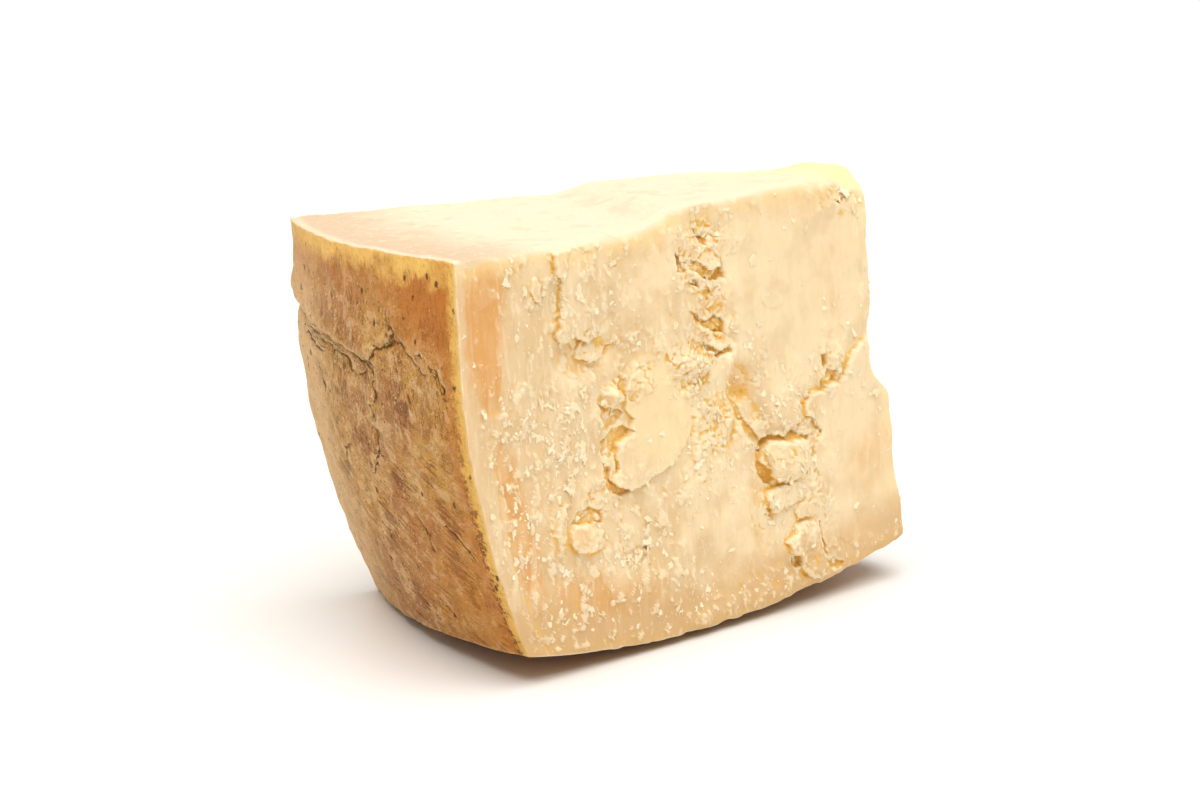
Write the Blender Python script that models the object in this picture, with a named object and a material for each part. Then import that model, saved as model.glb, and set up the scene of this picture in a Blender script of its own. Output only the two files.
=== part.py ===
"""A chunk of parmesan, broken from half a wheel.

The wheel is split at mid height, and a wedge is broken out of one half. The chunk keeps a band of
the wheel's barrel side and a sector of its flat face, both covered in rind. Its top, its two long
sides and its blunt tip are broken cheese. It lies on the wheel's flat face, which is slightly
domed, and leans back a little, so its front edge is clear of the table.

A vertex is placed in the wheel's own axes first: X from the rind to the wheel's middle along the
front side, Y from the front side to the back side, Z up the wheel's axis, with zero at the
chunk's near top corner. The lean and the shift to the table come last.
"""

import math
from collections import namedtuple

import bmesh
import bpy
from mathutils import Vector, noise

MM = 0.001
NAME = "cheese_chunk"

# The wheel, and how the wedge was broken out of it.
WHEEL_RADIUS = 199.5 * MM
WEDGE_ANGLE = math.radians(33.4)
LEAN = math.radians(4.95)
TABLE_DEPTH = 122.4 * MM      # the table, straight below the near top corner

# The barrel side: straight near mid height, then curving in towards the wheel's face.
BARREL_STRAIGHT = 28 * MM
BARREL_RADIUS = 205 * MM
RIND_WAVE = 0.5 * MM

# The wheel's face: lowest on a ring, a little higher at the rim and at the tip.
RING_RADIUS = 115 * MM
RING_DEPTH = 120.6 * MM
RIM_RADIUS = 181 * MM
RIM_LIFT = 6.6 * MM
TIP_RADIUS = 28 * MM
TIP_LIFT = 10.5 * MM

# The blunt tip: its front edge runs down the front side, and it steps out below a notch.
TIP_REACH = 162 * MM
TIP_STEP = 5.0 * MM
TIP_STEP_DEPTH = 61 * MM
TIP_STEP_HEIGHT = 8 * MM
TIP_NOTCH = 3 * MM
TIP_NOTCH_DEPTH = 48 * MM
TIP_NOTCH_HEIGHT = 8 * MM
TIP_SPREAD = 0.11             # how much further the tip reaches per metre below the step
TIP_BULGE = 9 * MM
TIP_BACK_X = 153 * MM
TIP_BACK_Y = 38 * MM

# The top, split at mid height: it climbs in two steps towards the tip. A step begins further from
# the rind at the back, by its skew times Y.
TopStep = namedtuple("TopStep", "rise start length skew")
TOP_STEPS = (
    TopStep(3.0 * MM, 70 * MM, 15 * MM, 0.42),
    TopStep(0.9 * MM, 112 * MM, 18 * MM, 0.10),
)
TOP_WAVE = 0.6 * MM

# Broken cheese is uneven all over.
BROKEN_WAVE = 1.5 * MM
BROKEN_LENGTH = 24 * MM
FINE_WAVE = 0.7 * MM
FINE_LENGTH = 8 * MM

# Cells along X, Y and Z.
CELLS = (36, 18, 24)

# A patch stands proud of a broken side (height > 0) or is sunk in it. Its centre and half sizes
# are measured along the side and down it from the top, in millimetres; turn is in degrees, and
# edge is how softly it ends: 0.1 for a cliff, 1 for a gentle dome.
Patch = namedtuple("Patch", "along down half_along half_down turn height edge")

FRONT_PATCHES = (
    Patch(44, 14, 9, 15, 0, 2.0, 0.25),          # flake left standing near the rind
    Patch(46, 32, 12, 6, 0, -1.5, 0.5),          # hollow below the flake
    Patch(95, 11, 9, 14, 8, -4.0, 0.5),          # trough below the top edge
    Patch(98, 35, 9, 9, 0, -3.5, 0.5),           # second hollow of the same trough
    Patch(57, 57, 7, 19, -6, -3.5, 0.4),         # crumbled hollow left of the scallop
    Patch(75, 57, 12, 19, -12, 2.5, 0.4),        # scallop, the smooth raised shell
    Patch(97, 60, 10, 13, 0, -1.5, 0.6),         # crumbled cheese right of the scallop
    Patch(112, 62, 5, 15, -28, -3.0, 0.6),       # slanting groove
    Patch(152, 84, 20, 36, 8, 2.6, 0.4),         # plateau at the tip
    Patch(142, 53, 5, 7, 20, -3.0, 0.9),         # cavity at the plateau's corner
    Patch(123, 78, 9, 8, 0, 2.5, 0.6),           # crumb standing on the side
    Patch(123, 90, 9, 6, 0, 2.5, 0.6),           # block below it
    Patch(113, 82, 5, 8, 0, -2.5, 0.9),          # cavity beside them
    Patch(131, 103, 7, 7, 0, 2.5, 0.4),          # lowest crumb
    Patch(41, 80, 7, 8, 0, 1.5, 0.5),            # low lumps near the rind
)
TOP_PATCHES = (
    Patch(52, 0, 30, 30, 0, -0.9, 1.0),          # shallow dip along the front edge
    Patch(163, 0, 11, 9, 0, -4.4, 1.0),          # corner of the tip, worn round
    Patch(90, 66, 18, 12, -30, -0.9, 1.0),       # dip at the back edge
    Patch(150, 34, 12, 9, -30, -1.2, 1.0),       # dip before the tip
)
BACK_PATCHES = (
    Patch(62, 30, 16, 24, 10, -4.0, 0.5),
    Patch(96, 62, 22, 18, -20, 3.5, 0.4),
    Patch(50, 88, 18, 16, 0, 3.0, 0.5),
    Patch(112, 98, 14, 12, 15, -4.0, 0.5),
    Patch(26, 52, 9, 26, 0, 2.0, 0.4),
    Patch(122, 30, 13, 20, -10, 3.5, 0.4),
)


def smooth_step(value):
    """0 below 0, 1 above 1, and smooth between."""
    value = min(max(value, 0.0), 1.0)
    return value * value * (3.0 - 2.0 * value)


def wave(x, y, z, length, seed):
    """Smooth noise between about -1 and 1, with bumps of the given length."""
    return noise.noise(Vector((x, y, z)) / length + Vector((seed, 2.7 * seed, -1.3 * seed)))


def patches_height(patches, along, down):
    """Total height of a side's patches at a point of that side."""
    total = 0.0
    for patch in patches:
        turn = math.radians(patch.turn)
        a = along / MM - patch.along
        d = down / MM - patch.down
        across = (a * math.cos(turn) + d * math.sin(turn)) / patch.half_along
        up = (d * math.cos(turn) - a * math.sin(turn)) / patch.half_down
        distance = math.hypot(across, up)
        total += patch.height * MM * smooth_step((1.0 - distance) / patch.edge + 0.5)
    return total


def barrel_inset(depth):
    """How far the barrel side has come in at a depth below mid height."""
    curved = max(depth - BARREL_STRAIGHT, 0.0)
    return curved * curved / (2.0 * BARREL_RADIUS)


def tip_reach(depth):
    """X of the tip's front edge at a depth below the top."""
    step = smooth_step((depth - TIP_STEP_DEPTH) / TIP_STEP_HEIGHT + 0.5)
    notch = math.exp(-((depth - TIP_NOTCH_DEPTH) / TIP_NOTCH_HEIGHT) ** 2)
    below = max(depth - TIP_STEP_DEPTH, 0.0)
    return TIP_REACH + TIP_STEP * step - TIP_NOTCH * notch + TIP_SPREAD * below


def plan_point(s, t, depth):
    """X and Y of a point: s from the rind to the tip, t from the front side to the back side."""
    angle = WEDGE_ANGLE * t
    radius = WHEEL_RADIUS - barrel_inset(depth)
    rind_x = WHEEL_RADIUS - radius * math.cos(angle)
    rind_y = radius * math.sin(angle)
    reach = tip_reach(depth)
    tip_x = reach + (TIP_BACK_X - TIP_REACH) * t + TIP_BULGE * 4.0 * t * (1.0 - t)
    tip_y = TIP_BACK_Y * t
    return rind_x + (tip_x - rind_x) * s, rind_y + (tip_y - rind_y) * s


def top_height(x, y):
    """Height of the split top above the near top corner."""
    height = patches_height(TOP_PATCHES, x, y)
    for step in TOP_STEPS:
        height += step.rise * smooth_step((x - step.start - step.skew * y) / step.length)
    waves = TOP_WAVE * wave(x, y, 0.0, BROKEN_LENGTH, 3.1)
    return height + waves * smooth_step(x / (20 * MM))


def face_depth(x, y):
    """Depth of the wheel's domed face, cut flat where it meets the table."""
    radius = math.hypot(WHEEL_RADIUS - x, y)
    if radius > RING_RADIUS:
        part = (radius - RING_RADIUS) / (RIM_RADIUS - RING_RADIUS)
        depth = RING_DEPTH - RIM_LIFT * part * part
    else:
        part = (RING_RADIUS - radius) / (RING_RADIUS - TIP_RADIUS)
        depth = RING_DEPTH - TIP_LIFT * part * part
    table = (TABLE_DEPTH - y * math.sin(LEAN)) / math.cos(LEAN)
    return min(depth, table)


def broken_wave(x, y, z, seed):
    """The unevenness that all broken sides share."""
    broad = BROKEN_WAVE * wave(x, y, z, BROKEN_LENGTH, seed)
    return broad + FINE_WAVE * wave(x, y, z, FINE_LENGTH, seed + 5.0)


def chunk_point(s, t, w):
    """Place the grid point (s, t, w), each from 0 to 1, in the wheel's axes."""
    flat_x, flat_y = plan_point(s, t, 0.0)
    top = top_height(flat_x, flat_y)
    rim_x, rim_y = plan_point(s, t, RING_DEPTH - RIM_LIFT)
    base = face_depth(rim_x, rim_y)
    z = (top + base) * w - base
    if w == 0.0:
        base_x, base_y = plan_point(s, t, base)
        return Vector((base_x, base_y, -face_depth(base_x, base_y)))
    depth = max(-z, 0.0)
    x, y = plan_point(s, t, depth)

    # Each side's relief moves the points behind it too, less and less towards the far side.
    front = patches_height(FRONT_PATCHES, x, depth) + broken_wave(x, 0.0, z, 1.0)
    back_along = x * math.cos(WEDGE_ANGLE) + y * math.sin(WEDGE_ANGLE)
    back = patches_height(BACK_PATCHES, back_along, depth) + broken_wave(x, y, z, 2.0)
    tip = broken_wave(x, y, z, 4.0)
    rind = RIND_WAVE * wave(x, y, z, BROKEN_LENGTH, 6.0)
    fade = smooth_step(w * 8.0) * smooth_step(s * 8.0)
    x += tip * s * fade - rind * (1.0 - s)
    x += back * t * math.sin(WEDGE_ANGLE) * fade * (1.0 - s)
    y += back * t * math.cos(WEDGE_ANGLE) * fade - front * (1.0 - t) * fade
    return Vector((x, y, z))


def lean_back(point):
    """Turn a point from the wheel's axes to a table-top pose, with the table at zero."""
    cos, sin = math.cos(LEAN), math.sin(LEAN)
    y = point.y * cos + point.z * sin
    z = point.z * cos - point.y * sin + TABLE_DEPTH
    return Vector((point.x, y, 0.0 if abs(z) < 1e-7 else z))


def subdivided_block():
    """A unit cube cut into CELLS cells, centred on the origin."""
    block = bmesh.new()
    bmesh.ops.create_cube(block, size=1.0)
    for axis, count in enumerate(CELLS):
        along = [
            edge
            for edge in block.edges
            if abs(edge.verts[0].co[axis] - edge.verts[1].co[axis]) > 0.5
        ]
        bmesh.ops.subdivide_edges(block, edges=along, cuts=count - 1, use_grid_fill=True)
    return block


def cheese_material():
    """Pale yellow paste with a matt, slightly waxy surface."""
    material = bpy.data.materials.new("parmesan")
    material.use_nodes = True
    shader = material.node_tree.nodes["Principled BSDF"]
    shader.inputs["Base Color"].default_value = (0.86, 0.66, 0.37, 1.0)
    shader.inputs["Roughness"].default_value = 0.6
    shader.inputs["Metallic"].default_value = 0.0
    return material


def build_chunk(collection):
    """Shape the block into the chunk, and set it with its box's bottom centre at the origin."""
    block = subdivided_block()
    for vertex in block.verts:
        s, t, w = (value + 0.5 for value in vertex.co)
        vertex.co = lean_back(chunk_point(s, t, w))
    low = Vector(min(vertex.co[axis] for vertex in block.verts) for axis in range(3))
    high = Vector(max(vertex.co[axis] for vertex in block.verts) for axis in range(3))
    middle = (low + high) / 2.0
    bmesh.ops.translate(block, verts=block.verts, vec=(-middle.x, -middle.y, 0.0))
    bmesh.ops.recalc_face_normals(block, faces=block.faces)
    bmesh.ops.triangulate(block, faces=block.faces)
    mesh = bpy.data.meshes.new(NAME)
    block.to_mesh(mesh)
    block.free()
    mesh.materials.append(cheese_material())
    mesh.shade_smooth()
    mesh.set_sharp_from_angle(angle=math.radians(40))
    collection.objects.link(bpy.data.objects.new(NAME, mesh))


def main():
    for item in list(bpy.data.objects):
        bpy.data.objects.remove(item, do_unlink=True)
    collection = bpy.data.collections.new("parmesan_chunk")
    bpy.context.scene.collection.children.link(collection)
    build_chunk(collection)


main()
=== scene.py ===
"""Looks of a parmesan chunk: broken paste, flaky plates and loose crumbs, and a weathered rind.

The chunk's shape is worked out in the wheel's own axes, as its solid is: X from the rind to the
wheel's middle along the front side, Y from the front side to the back side, Z up the wheel's axis,
with zero at the chunk's near top corner. Relief on the sides is in millimetres.
"""

import math
import random
from collections import namedtuple

import bmesh
import bpy
import numpy as np
from bpy.props import FloatProperty, FloatVectorProperty, IntProperty, PointerProperty
from bpy.types import Operator, Panel, PropertyGroup
from mathutils import Matrix, Vector, noise


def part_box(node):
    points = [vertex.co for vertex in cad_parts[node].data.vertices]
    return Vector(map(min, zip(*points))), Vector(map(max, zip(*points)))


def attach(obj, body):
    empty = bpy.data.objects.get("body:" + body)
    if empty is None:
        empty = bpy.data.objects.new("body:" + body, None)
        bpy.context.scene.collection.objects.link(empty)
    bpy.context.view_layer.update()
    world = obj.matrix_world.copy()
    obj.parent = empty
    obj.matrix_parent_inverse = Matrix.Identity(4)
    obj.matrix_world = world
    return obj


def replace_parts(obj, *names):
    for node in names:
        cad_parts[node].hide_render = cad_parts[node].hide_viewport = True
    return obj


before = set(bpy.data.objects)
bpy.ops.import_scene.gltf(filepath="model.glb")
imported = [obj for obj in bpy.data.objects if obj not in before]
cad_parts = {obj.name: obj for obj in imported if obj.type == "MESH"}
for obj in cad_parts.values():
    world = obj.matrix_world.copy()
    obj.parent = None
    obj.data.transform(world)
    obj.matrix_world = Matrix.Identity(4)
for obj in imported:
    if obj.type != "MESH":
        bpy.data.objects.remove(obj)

bl_info = {
    "name": "Parmesan chunk",
    "version": (1, 0, 0),
    "blender": (4, 5, 0),
    "location": "3D View > Sidebar > Cheese",
    "description": "A chunk of hard cheese with broken sides, loose crumbs and a weathered rind",
    "category": "Add Mesh",
}

MM = 0.001
NODE = "cheese_chunk"
BODY = "root"
CAD_LOW, CAD_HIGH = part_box(NODE)

# The wheel, and how the wedge was broken out of it.
WHEEL_RADIUS = 199.5 * MM
WEDGE_ANGLE = math.radians(33.4)
LEAN = math.radians(4.95)
TABLE_DEPTH = 122.4 * MM
BARREL_STRAIGHT = 28 * MM
BARREL_RADIUS = 205 * MM
RING_RADIUS = 115 * MM
RING_DEPTH = 120.6 * MM
RIM_RADIUS = 181 * MM
RIM_LIFT = 6.6 * MM
TIP_RADIUS = 28 * MM
TIP_LIFT = 10.5 * MM
TIP_REACH = 162 * MM
TIP_STEP = 5.0 * MM
TIP_STEP_DEPTH = 61 * MM
TIP_STEP_HEIGHT = 8 * MM
TIP_NOTCH = 3 * MM
TIP_NOTCH_DEPTH = 48 * MM
TIP_NOTCH_HEIGHT = 8 * MM
TIP_SPREAD = 0.11
TIP_BULGE = 9 * MM
TIP_BACK_X = 153 * MM
TIP_BACK_Y = 38 * MM
TopStep = namedtuple("TopStep", "rise start length skew")
TOP_STEPS = (
    TopStep(3.0 * MM, 70 * MM, 15 * MM, 0.42),
    TopStep(0.3 * MM, 112 * MM, 18 * MM, 0.10),
)
TOP_WAVE = (0.6 * MM, 24 * MM, 3.1)               # its unevenness: height, length and seed
TOP_WAVE_GROWS = 20 * MM                          # how far from the rind it reaches full height
NEAR_CORNER = (-88.64 * MM, -47.82 * MM, 0.0)     # where the near top corner stands

# Unevenness that every broken side shares: (height, length) in millimetres.
BROAD_WAVE = (1.5, 24.0)
FINE_WAVE = (0.6, 8.0)

# The block's cells along X, Y and Z. The front side's cells are halved both ways, and the rind
# side's are halved in height and cut across.
CELLS = (110, 30, 80)
RIND_CUTS = 2
EDGE_ROWS = 0.75      # how much closer the cells lie near the front and back edges
WORN_PASSES = 3       # how often the edges away from the rind are smoothed
TOP_PASSES = 5        # how often the front top edge is smoothed on top of that
BOX_GAP = 0.15 * MM   # how far the chunk stays inside its solid's box

# A patch is an oval that stands proud of a side (height > 0) or is sunk in it. Its centre and half
# sizes are measured along the side and down it; turn is in degrees and edge is how softly it ends.
Patch = namedtuple("Patch", "along down half_along half_down turn height edge")

TOP_PATCHES = (
    Patch(52, 0, 30, 30, 0, -0.9, 1.0),
    Patch(163, 0, 11, 9, 0, -4.4, 1.0),
    Patch(78, 82, 24, 14, -30, 0.5, 1.0),
    Patch(146, 34, 16, 9, -10, -1.8, 1.0),
)
FRONT_SWELLS = (
    Patch(46, 33, 12, 6, 0, -1.2, 0.8),          # hollow below the flake
    Patch(95, 13, 10, 15, 8, -1.8, 0.7),         # trough below the top edge
    Patch(97, 35, 9, 9, 0, -1.6, 0.7),           # second hollow of the same trough
    Patch(56, 58, 7, 18, -6, -0.9, 0.9),         # crumbled hollow left of the scallop
    Patch(97, 60, 10, 13, 0, -1.2, 0.8),         # crumbled cheese right of the scallop
    Patch(107, 51, 4.5, 6, -20, -1.8, 0.9),      # smooth dent
    Patch(111, 62, 4.5, 12, -34, -2.2, 0.7),     # slanting groove below it
    Patch(124, 77, 7.5, 6.5, 0, 2.6, 0.9),       # body of the standing crumb
    Patch(113, 90, 5, 12, 0, -0.8, 0.9),         # sunk ground left of the block
    Patch(72, 54, 9, 14, -10, 1.0, 1.2),         # crown of the scallop
)
BACK_SWELLS = (
    Patch(62, 30, 16, 24, 10, -4.0, 0.5),
    Patch(96, 62, 22, 18, -20, 3.5, 0.4),
    Patch(50, 88, 18, 16, 0, 3.0, 0.5),
    Patch(112, 98, 14, 12, 15, -4.0, 0.5),
    Patch(26, 52, 9, 26, 0, 2.0, 0.4),
    Patch(122, 30, 13, 20, -10, 3.5, 0.4),
)

# Where the front side's paste is more orange, and where it is more buttery: height is how much.
WARM_PATCHES = (
    Patch(9, 21, 5.5, 17, -3, 1.2, 1.4),
    Patch(10.5, 38, 3.5, 9, -3, 0.5, 1.2),
    Patch(4, 22, 5, 24, 0, 0.3, 1.2),
    Patch(11, 8, 8, 9, 0, 0.8, 1.4),
    Patch(15, 62, 4, 11, -12, 0.5, 0.9),
    Patch(18.5, 82, 4.5, 22, -14, 0.9, 1.3),
    Patch(32, 62, 14, 40, -10, 0.32, 1.3),
    Patch(40, 101, 12, 7, 0, 0.7, 1.2),
    Patch(58, 105, 14, 6, -6, 0.65, 1.2),
    Patch(107, 51, 4, 6, -20, 0.7, 0.8),
    Patch(66, 4, 30, 5, 8, 0.35, 1.2),
    Patch(128, -2, 30, 10, 4, 0.35, 1.2),
    Patch(160, 84, 14, 10, -20, 0.5, 1.2),
    Patch(146, 34, 4, 20, 0, 0.25, 1.2),
    Patch(30, 36, 9, 16, 0, -0.2, 1.2),
)
BUTTER_PATCHES = (
    Patch(72, 54, 12, 16, -10, 1.0, 0.8),
    Patch(163, 10, 10, 14, 0, 0.8, 1.0),
    # A narrow band down the tip's edge: painted glow of light seeping through the thin paste there.
    Patch(168, 60, 5, 50, 0, 0.9, 1.0),
    Patch(58, 2, 60, 4, 6, 0.5, 1.0),
    Patch(114, -6, 40, 5, 5, 0.7, 1.0),
    Patch(94, 62, 14, 12, 10, 0.5, 1.0),
)

# Where the front side tore smoothly: height is how smooth.
CALM_PATCHES = (
    Patch(132, 22, 27, 26, 0, 0.9, 0.8),
    Patch(158, 82, 16, 26, 0, 0.9, 0.8),
    Patch(72, 16, 11, 14, 0, 0.6, 1.0),
    Patch(9, 22, 7, 22, 0, 0.7, 1.6),
    Patch(94, 92, 16, 13, 0, 0.5, 1.0),
    Patch(118, 105, 32, 9, -6, 0.6, 1.0),
    Patch(72, 54, 12, 16, -10, 0.9, 0.6),
)

HUE_PATCHES = {"warm": WARM_PATCHES, "butter": BUTTER_PATCHES, "calm": CALM_PATCHES}

# Where pale flakes gather on the front side: height is how much.
DRIFT_PATCHES = (
    Patch(22, 46, 9, 15, 0, 1.0, 1.0),
    Patch(34, 52, 9, 14, 0, 0.9, 1.0),
    Patch(24, 30, 5, 8, 0, 0.6, 1.0),
    Patch(18, 72, 7, 16, -12, 0.8, 1.0),
    Patch(27, 92, 6, 18, -14, 0.6, 1.0),
    Patch(48, 96, 16, 8, 0, 0.45, 1.0),
    Patch(70, 106, 20, 5, -6, 0.4, 1.0),
    Patch(84, 48, 8, 6, 0, 0.8, 1.0),
    Patch(40, 74, 10, 8, 0, 0.6, 1.0),
)

# A plate is a flake of the paste with a ragged outline, standing rise proud of the side (or sunk in
# it), whose edge is a cliff edge wide. It thins out along fade_turn (degrees, 0 away from the rind,
# 90 down) over fade_reach, so that only its near lip shows. 0 leaves it whole.
Plate = namedtuple("Plate", "outline rise edge fade_turn fade_reach")

FRONT_PLATES = (
    # The flake near the rind, and the second one showing below its lip.
    Plate(((35.5, 3), (36, 8), (38, 11), (37.5, 19), (37, 24), (35.5, 26.5), (38, 27.8), (40, 27),
           (42, 26.3), (44.5, 27.9), (46, 29.3), (51, 28.2), (51.5, 25), (56, 24), (62, 16),
           (58, 4), (46, 1)), 2.2, 0.45, -20, 30),
    Plate(((44, 31), (43, 33), (46, 34), (50, 35.4), (53, 34.4), (55, 32.5), (60, 31), (62, 24),
           (50, 24)), 1.2, 0.45, -70, 12),
    # The oval flake by itself.
    Plate(((27.5, 9.5), (29, 9), (30.5, 11), (30, 15.8), (28, 15), (26.5, 12)), 0.9, 0.6, 0, 0),
    # The scallop, its lower spur, and the smooth tongue above it.
    Plate(((60.5, 50), (59.7, 45.5), (62, 42), (69, 39.7), (75, 40.5), (80, 42.4), (84, 46.5),
           (84.5, 53), (84.6, 59.5), (82, 63.7), (79, 67), (75.5, 69.6), (69.7, 70.9),
           (64.4, 72.9), (60.8, 73), (55.8, 71.8), (53.3, 69.9), (56.8, 67.6), (55.9, 64.4),
           (56.8, 61), (61.5, 58), (62.5, 54)), 1.7, 0.6, -40, 34),
    Plate(((75, 34), (80, 32.8), (82.5, 36), (82, 40.4), (79.5, 42), (77, 39)), 0.9, 0.7, -90, 14),
    # Cavities of the trough below the top edge.
    Plate(((84.5, 13.2), (89.6, 12.4), (93, 14), (97, 16.6), (102.6, 15.6), (103, 19.3),
           (99, 20.8), (94.5, 19), (89.5, 15.6), (85, 15.8)), -2.0, 0.5, 180, 40),
    Plate(((84, 9.8), (86, 10.8), (85.4, 15.9), (83.4, 15.4)), -1.6, 0.7, 0, 0),
    Plate(((93, 6), (96.6, 6.8), (95.8, 10.2), (93.4, 9)), -1.8, 0.7, 0, 0),
    Plate(((89.2, 18.2), (92.2, 19), (92.6, 21.6), (89.6, 20.8)), -1.4, 0.5, 0, 0),
    Plate(((87, 27.2), (91.3, 28.4), (95.5, 31.4), (99, 29.8), (102.9, 31.8), (103.2, 36.2),
           (98, 35.4), (94, 33.4), (89, 30)), -2.0, 0.5, 180, 34),
    Plate(((93.5, 37.8), (98.5, 40), (103.8, 39.8), (103.5, 42.6), (97.6, 42.2), (94, 39.8)),
          -1.8, 0.5, 0, 0),
    # Cavities left of the scallop.
    Plate(((50.5, 47.5), (54, 49.5), (58, 49.8), (60, 51.5), (57, 55), (52, 55.5), (50, 51)),
          -1.0, 0.7, 0, 0),
    Plate(((53, 56.5), (60, 55.5), (62.5, 58), (57.5, 61), (54, 63.5), (50.8, 63), (50.5, 58)),
          -0.9, 0.7, 0, 0),
    Plate(((50.5, 64.5), (53.5, 66.5), (52.6, 69.8), (56, 72.3), (62, 74), (57, 75.8),
           (51.5, 73.8), (49.5, 69)), -1.1, 0.6, 0, 0),
    # The lump near the rind, the broken strip above it and the rib beside it.
    Plate(((35.8, 81.8), (38, 80.6), (43, 80.9), (47.6, 83.4), (46.8, 87.2), (42.3, 88.6),
           (37.5, 87), (35.4, 84.4)), 1.9, 0.8, -60, 20),
    Plate(((36.6, 80), (39, 76.4), (44, 75.8), (48.3, 77), (48, 81), (43, 80.4)), -1.0, 0.8, 0, 0),
    Plate(((32.6, 74), (34.4, 76.5), (33.6, 85), (31.2, 88), (30.6, 82)), 0.8, 0.7, 0, 0),
    # The plate right of the slanting groove, with the crevice under its lip.
    Plate(((105, 56), (109, 52), (113, 48), (124, 52), (130, 60), (129.5, 66.6), (126, 66.6),
           (122.8, 69.2), (118.4, 68.4), (114.8, 69.6), (112, 66)), 1.2, 0.6, -90, 16),
    Plate(((112.4, 72), (114.6, 70.2), (118.6, 69), (123, 69), (125.2, 67.4), (129, 70.6),
           (133.6, 71.6), (133.2, 73), (127, 72.2), (118.5, 71.4), (115, 73.6)), -1.1, 0.6, 0, 0),
    # The standing crumb, the cavity beside it and the block below it.
    Plate(((114.8, 74), (118.4, 71), (123, 71.2), (127, 72.2), (132.6, 73.4), (134, 76),
           (133, 80.4), (128.2, 82.8), (122, 83.8), (118, 82), (116.6, 78.6), (114, 76)),
          1.4, 0.7, 0, 22),
    Plate(((112.4, 71.6), (115.6, 72.4), (116.2, 76.6), (118, 82.4), (117, 84.2), (114.4, 83.4),
           (112.2, 79)), -1.5, 0.6, 0, 0),
    Plate(((114.2, 86.2), (118, 85.4), (122, 85), (128.6, 84.8), (130, 89.4), (125.4, 90.6),
           (117.5, 91.5), (114.6, 89.6)), 2.5, 0.45, 10, 20),
    Plate(((126, 93.2), (127.6, 90.8), (135.2, 91.2), (136.6, 94.6), (132.6, 96), (126.6, 95)),
          1.2, 0.8, 0, 12),
    # The lowest plate, its cavity, and the crack behind it.
    Plate(((126.5, 97.6), (125.4, 100), (121.7, 101.2), (122.6, 104.4), (127, 105.8),
           (127.2, 109), (127.8, 112), (131.4, 114.6), (136, 116), (138.6, 112), (138, 106.4),
           (136.6, 104), (135, 98.6), (130.4, 97)), 1.8, 0.5, -10, 18),
    Plate(((123.2, 106), (127, 106.4), (127.3, 109.8), (123.8, 109.8)), -1.2, 0.6, 0, 0),
    Plate(((135.6, 97.8), (136.6, 98), (137.4, 103), (139, 106), (138.6, 109.6), (137.4, 107),
           (136, 102)), -1.0, 0.5, 0, 0),
    Plate(((138, 110.6), (142, 110.4), (146, 112), (146, 114), (140, 113.6)), -1.0, 0.6, 0, 0),
    # The plateau at the tip, and the cavity at its corner.
    Plate(((146.6, 58), (140.4, 59.6), (136, 59), (132.4, 62), (131.8, 65), (135.4, 67.4),
           (138, 72), (135.2, 75), (133.4, 80.4), (137, 84.6), (134.4, 89.4), (136.6, 94.6),
           (139, 101), (141, 109), (150, 122), (190, 122), (190, 36), (172, 40), (155, 48)),
          1.5, 0.8, 90, 30),
    Plate(((139.4, 55), (142.6, 53.2), (146.4, 54.2), (144.6, 57.6), (140.4, 58.6)),
          -1.4, 0.6, 0, 0),
    Plate(((139.6, 48), (141.4, 47), (142, 52), (140.4, 53.6)), -1.2, 0.8, 0, 0),
    # Small holes near the tip, and the pale scab below the upper one.
    Plate(((136.6, -6), (138.6, -6), (138.8, -4.4), (137, -4)), -1.4, 0.6, 0, 0),
    Plate(((153, -0.6), (155, -0.4), (154.6, 1.4), (153, 1.2)), -1.4, 0.6, 0, 0),
    Plate(((148.6, 3.6), (151.8, 3.4), (151.6, 5), (148.8, 5)), -1.2, 0.6, 0, 0),
    Plate(((117, 27.2), (121.5, 26.2), (126, 30), (125, 32.2), (119.6, 31)), 0.3, 0.9, 0, 0),
    # The pale flake at the orange strip's end.
    Plate(((4.8, 45.6), (9, 44.8), (12, 44.2), (15, 44.4), (14.4, 46.8), (12, 50), (6.4, 50.4)),
          0.8, 0.7, 180, 14),
)

# A zone where the paste has crumbled: an oval, how rough it is in millimetres, and its lump size.
Zone = namedtuple("Zone", "along down half_along half_down turn rough size")

FRONT_ZONES = (
    Zone(55, 50, 5, 6, -8, 0.6, 2.8),
    Zone(53, 67, 4, 8, 0, 0.5, 2.6),
    Zone(64, 44, 11, 5, -14, 1.0, 3.2),
    Zone(86, 44, 11, 9, 20, 1.1, 3.8),
    Zone(94, 14, 10, 13, 6, 1.1, 3.8),
    Zone(97, 35, 10, 10, 0, 1.1, 3.6),
    Zone(94, 62, 12, 11, 10, 0.9, 4.2),
    Zone(43, 78, 8, 4, 0, 0.9, 2.8),
    Zone(48, 72, 6, 4, 20, 0.8, 2.8),
    Zone(124, 77, 9, 6, 0, 0.8, 4.0),
    Zone(130, 66, 5, 6, 0, 1.0, 3.0),
    Zone(116, 87, 4, 12, 0, 0.5, 3.2),
    Zone(130, 106, 9, 10, 0, 0.7, 4.0),
    Zone(143, 52, 6, 8, 0, 0.9, 3.0),
    Zone(150, 2, 14, 8, 0, 0.7, 3.6),
    Zone(50, 31, 9, 6, 0, 0.7, 3.2),
    Zone(112, 113, 34, 5, -6, 0.5, 3.0),
)

# A groove in the rind: points across it (from the front edge) and down it, its width and depth,
# and how much the rind above it bulges.
Groove = namedtuple("Groove", "points width depth bulge")

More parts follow.
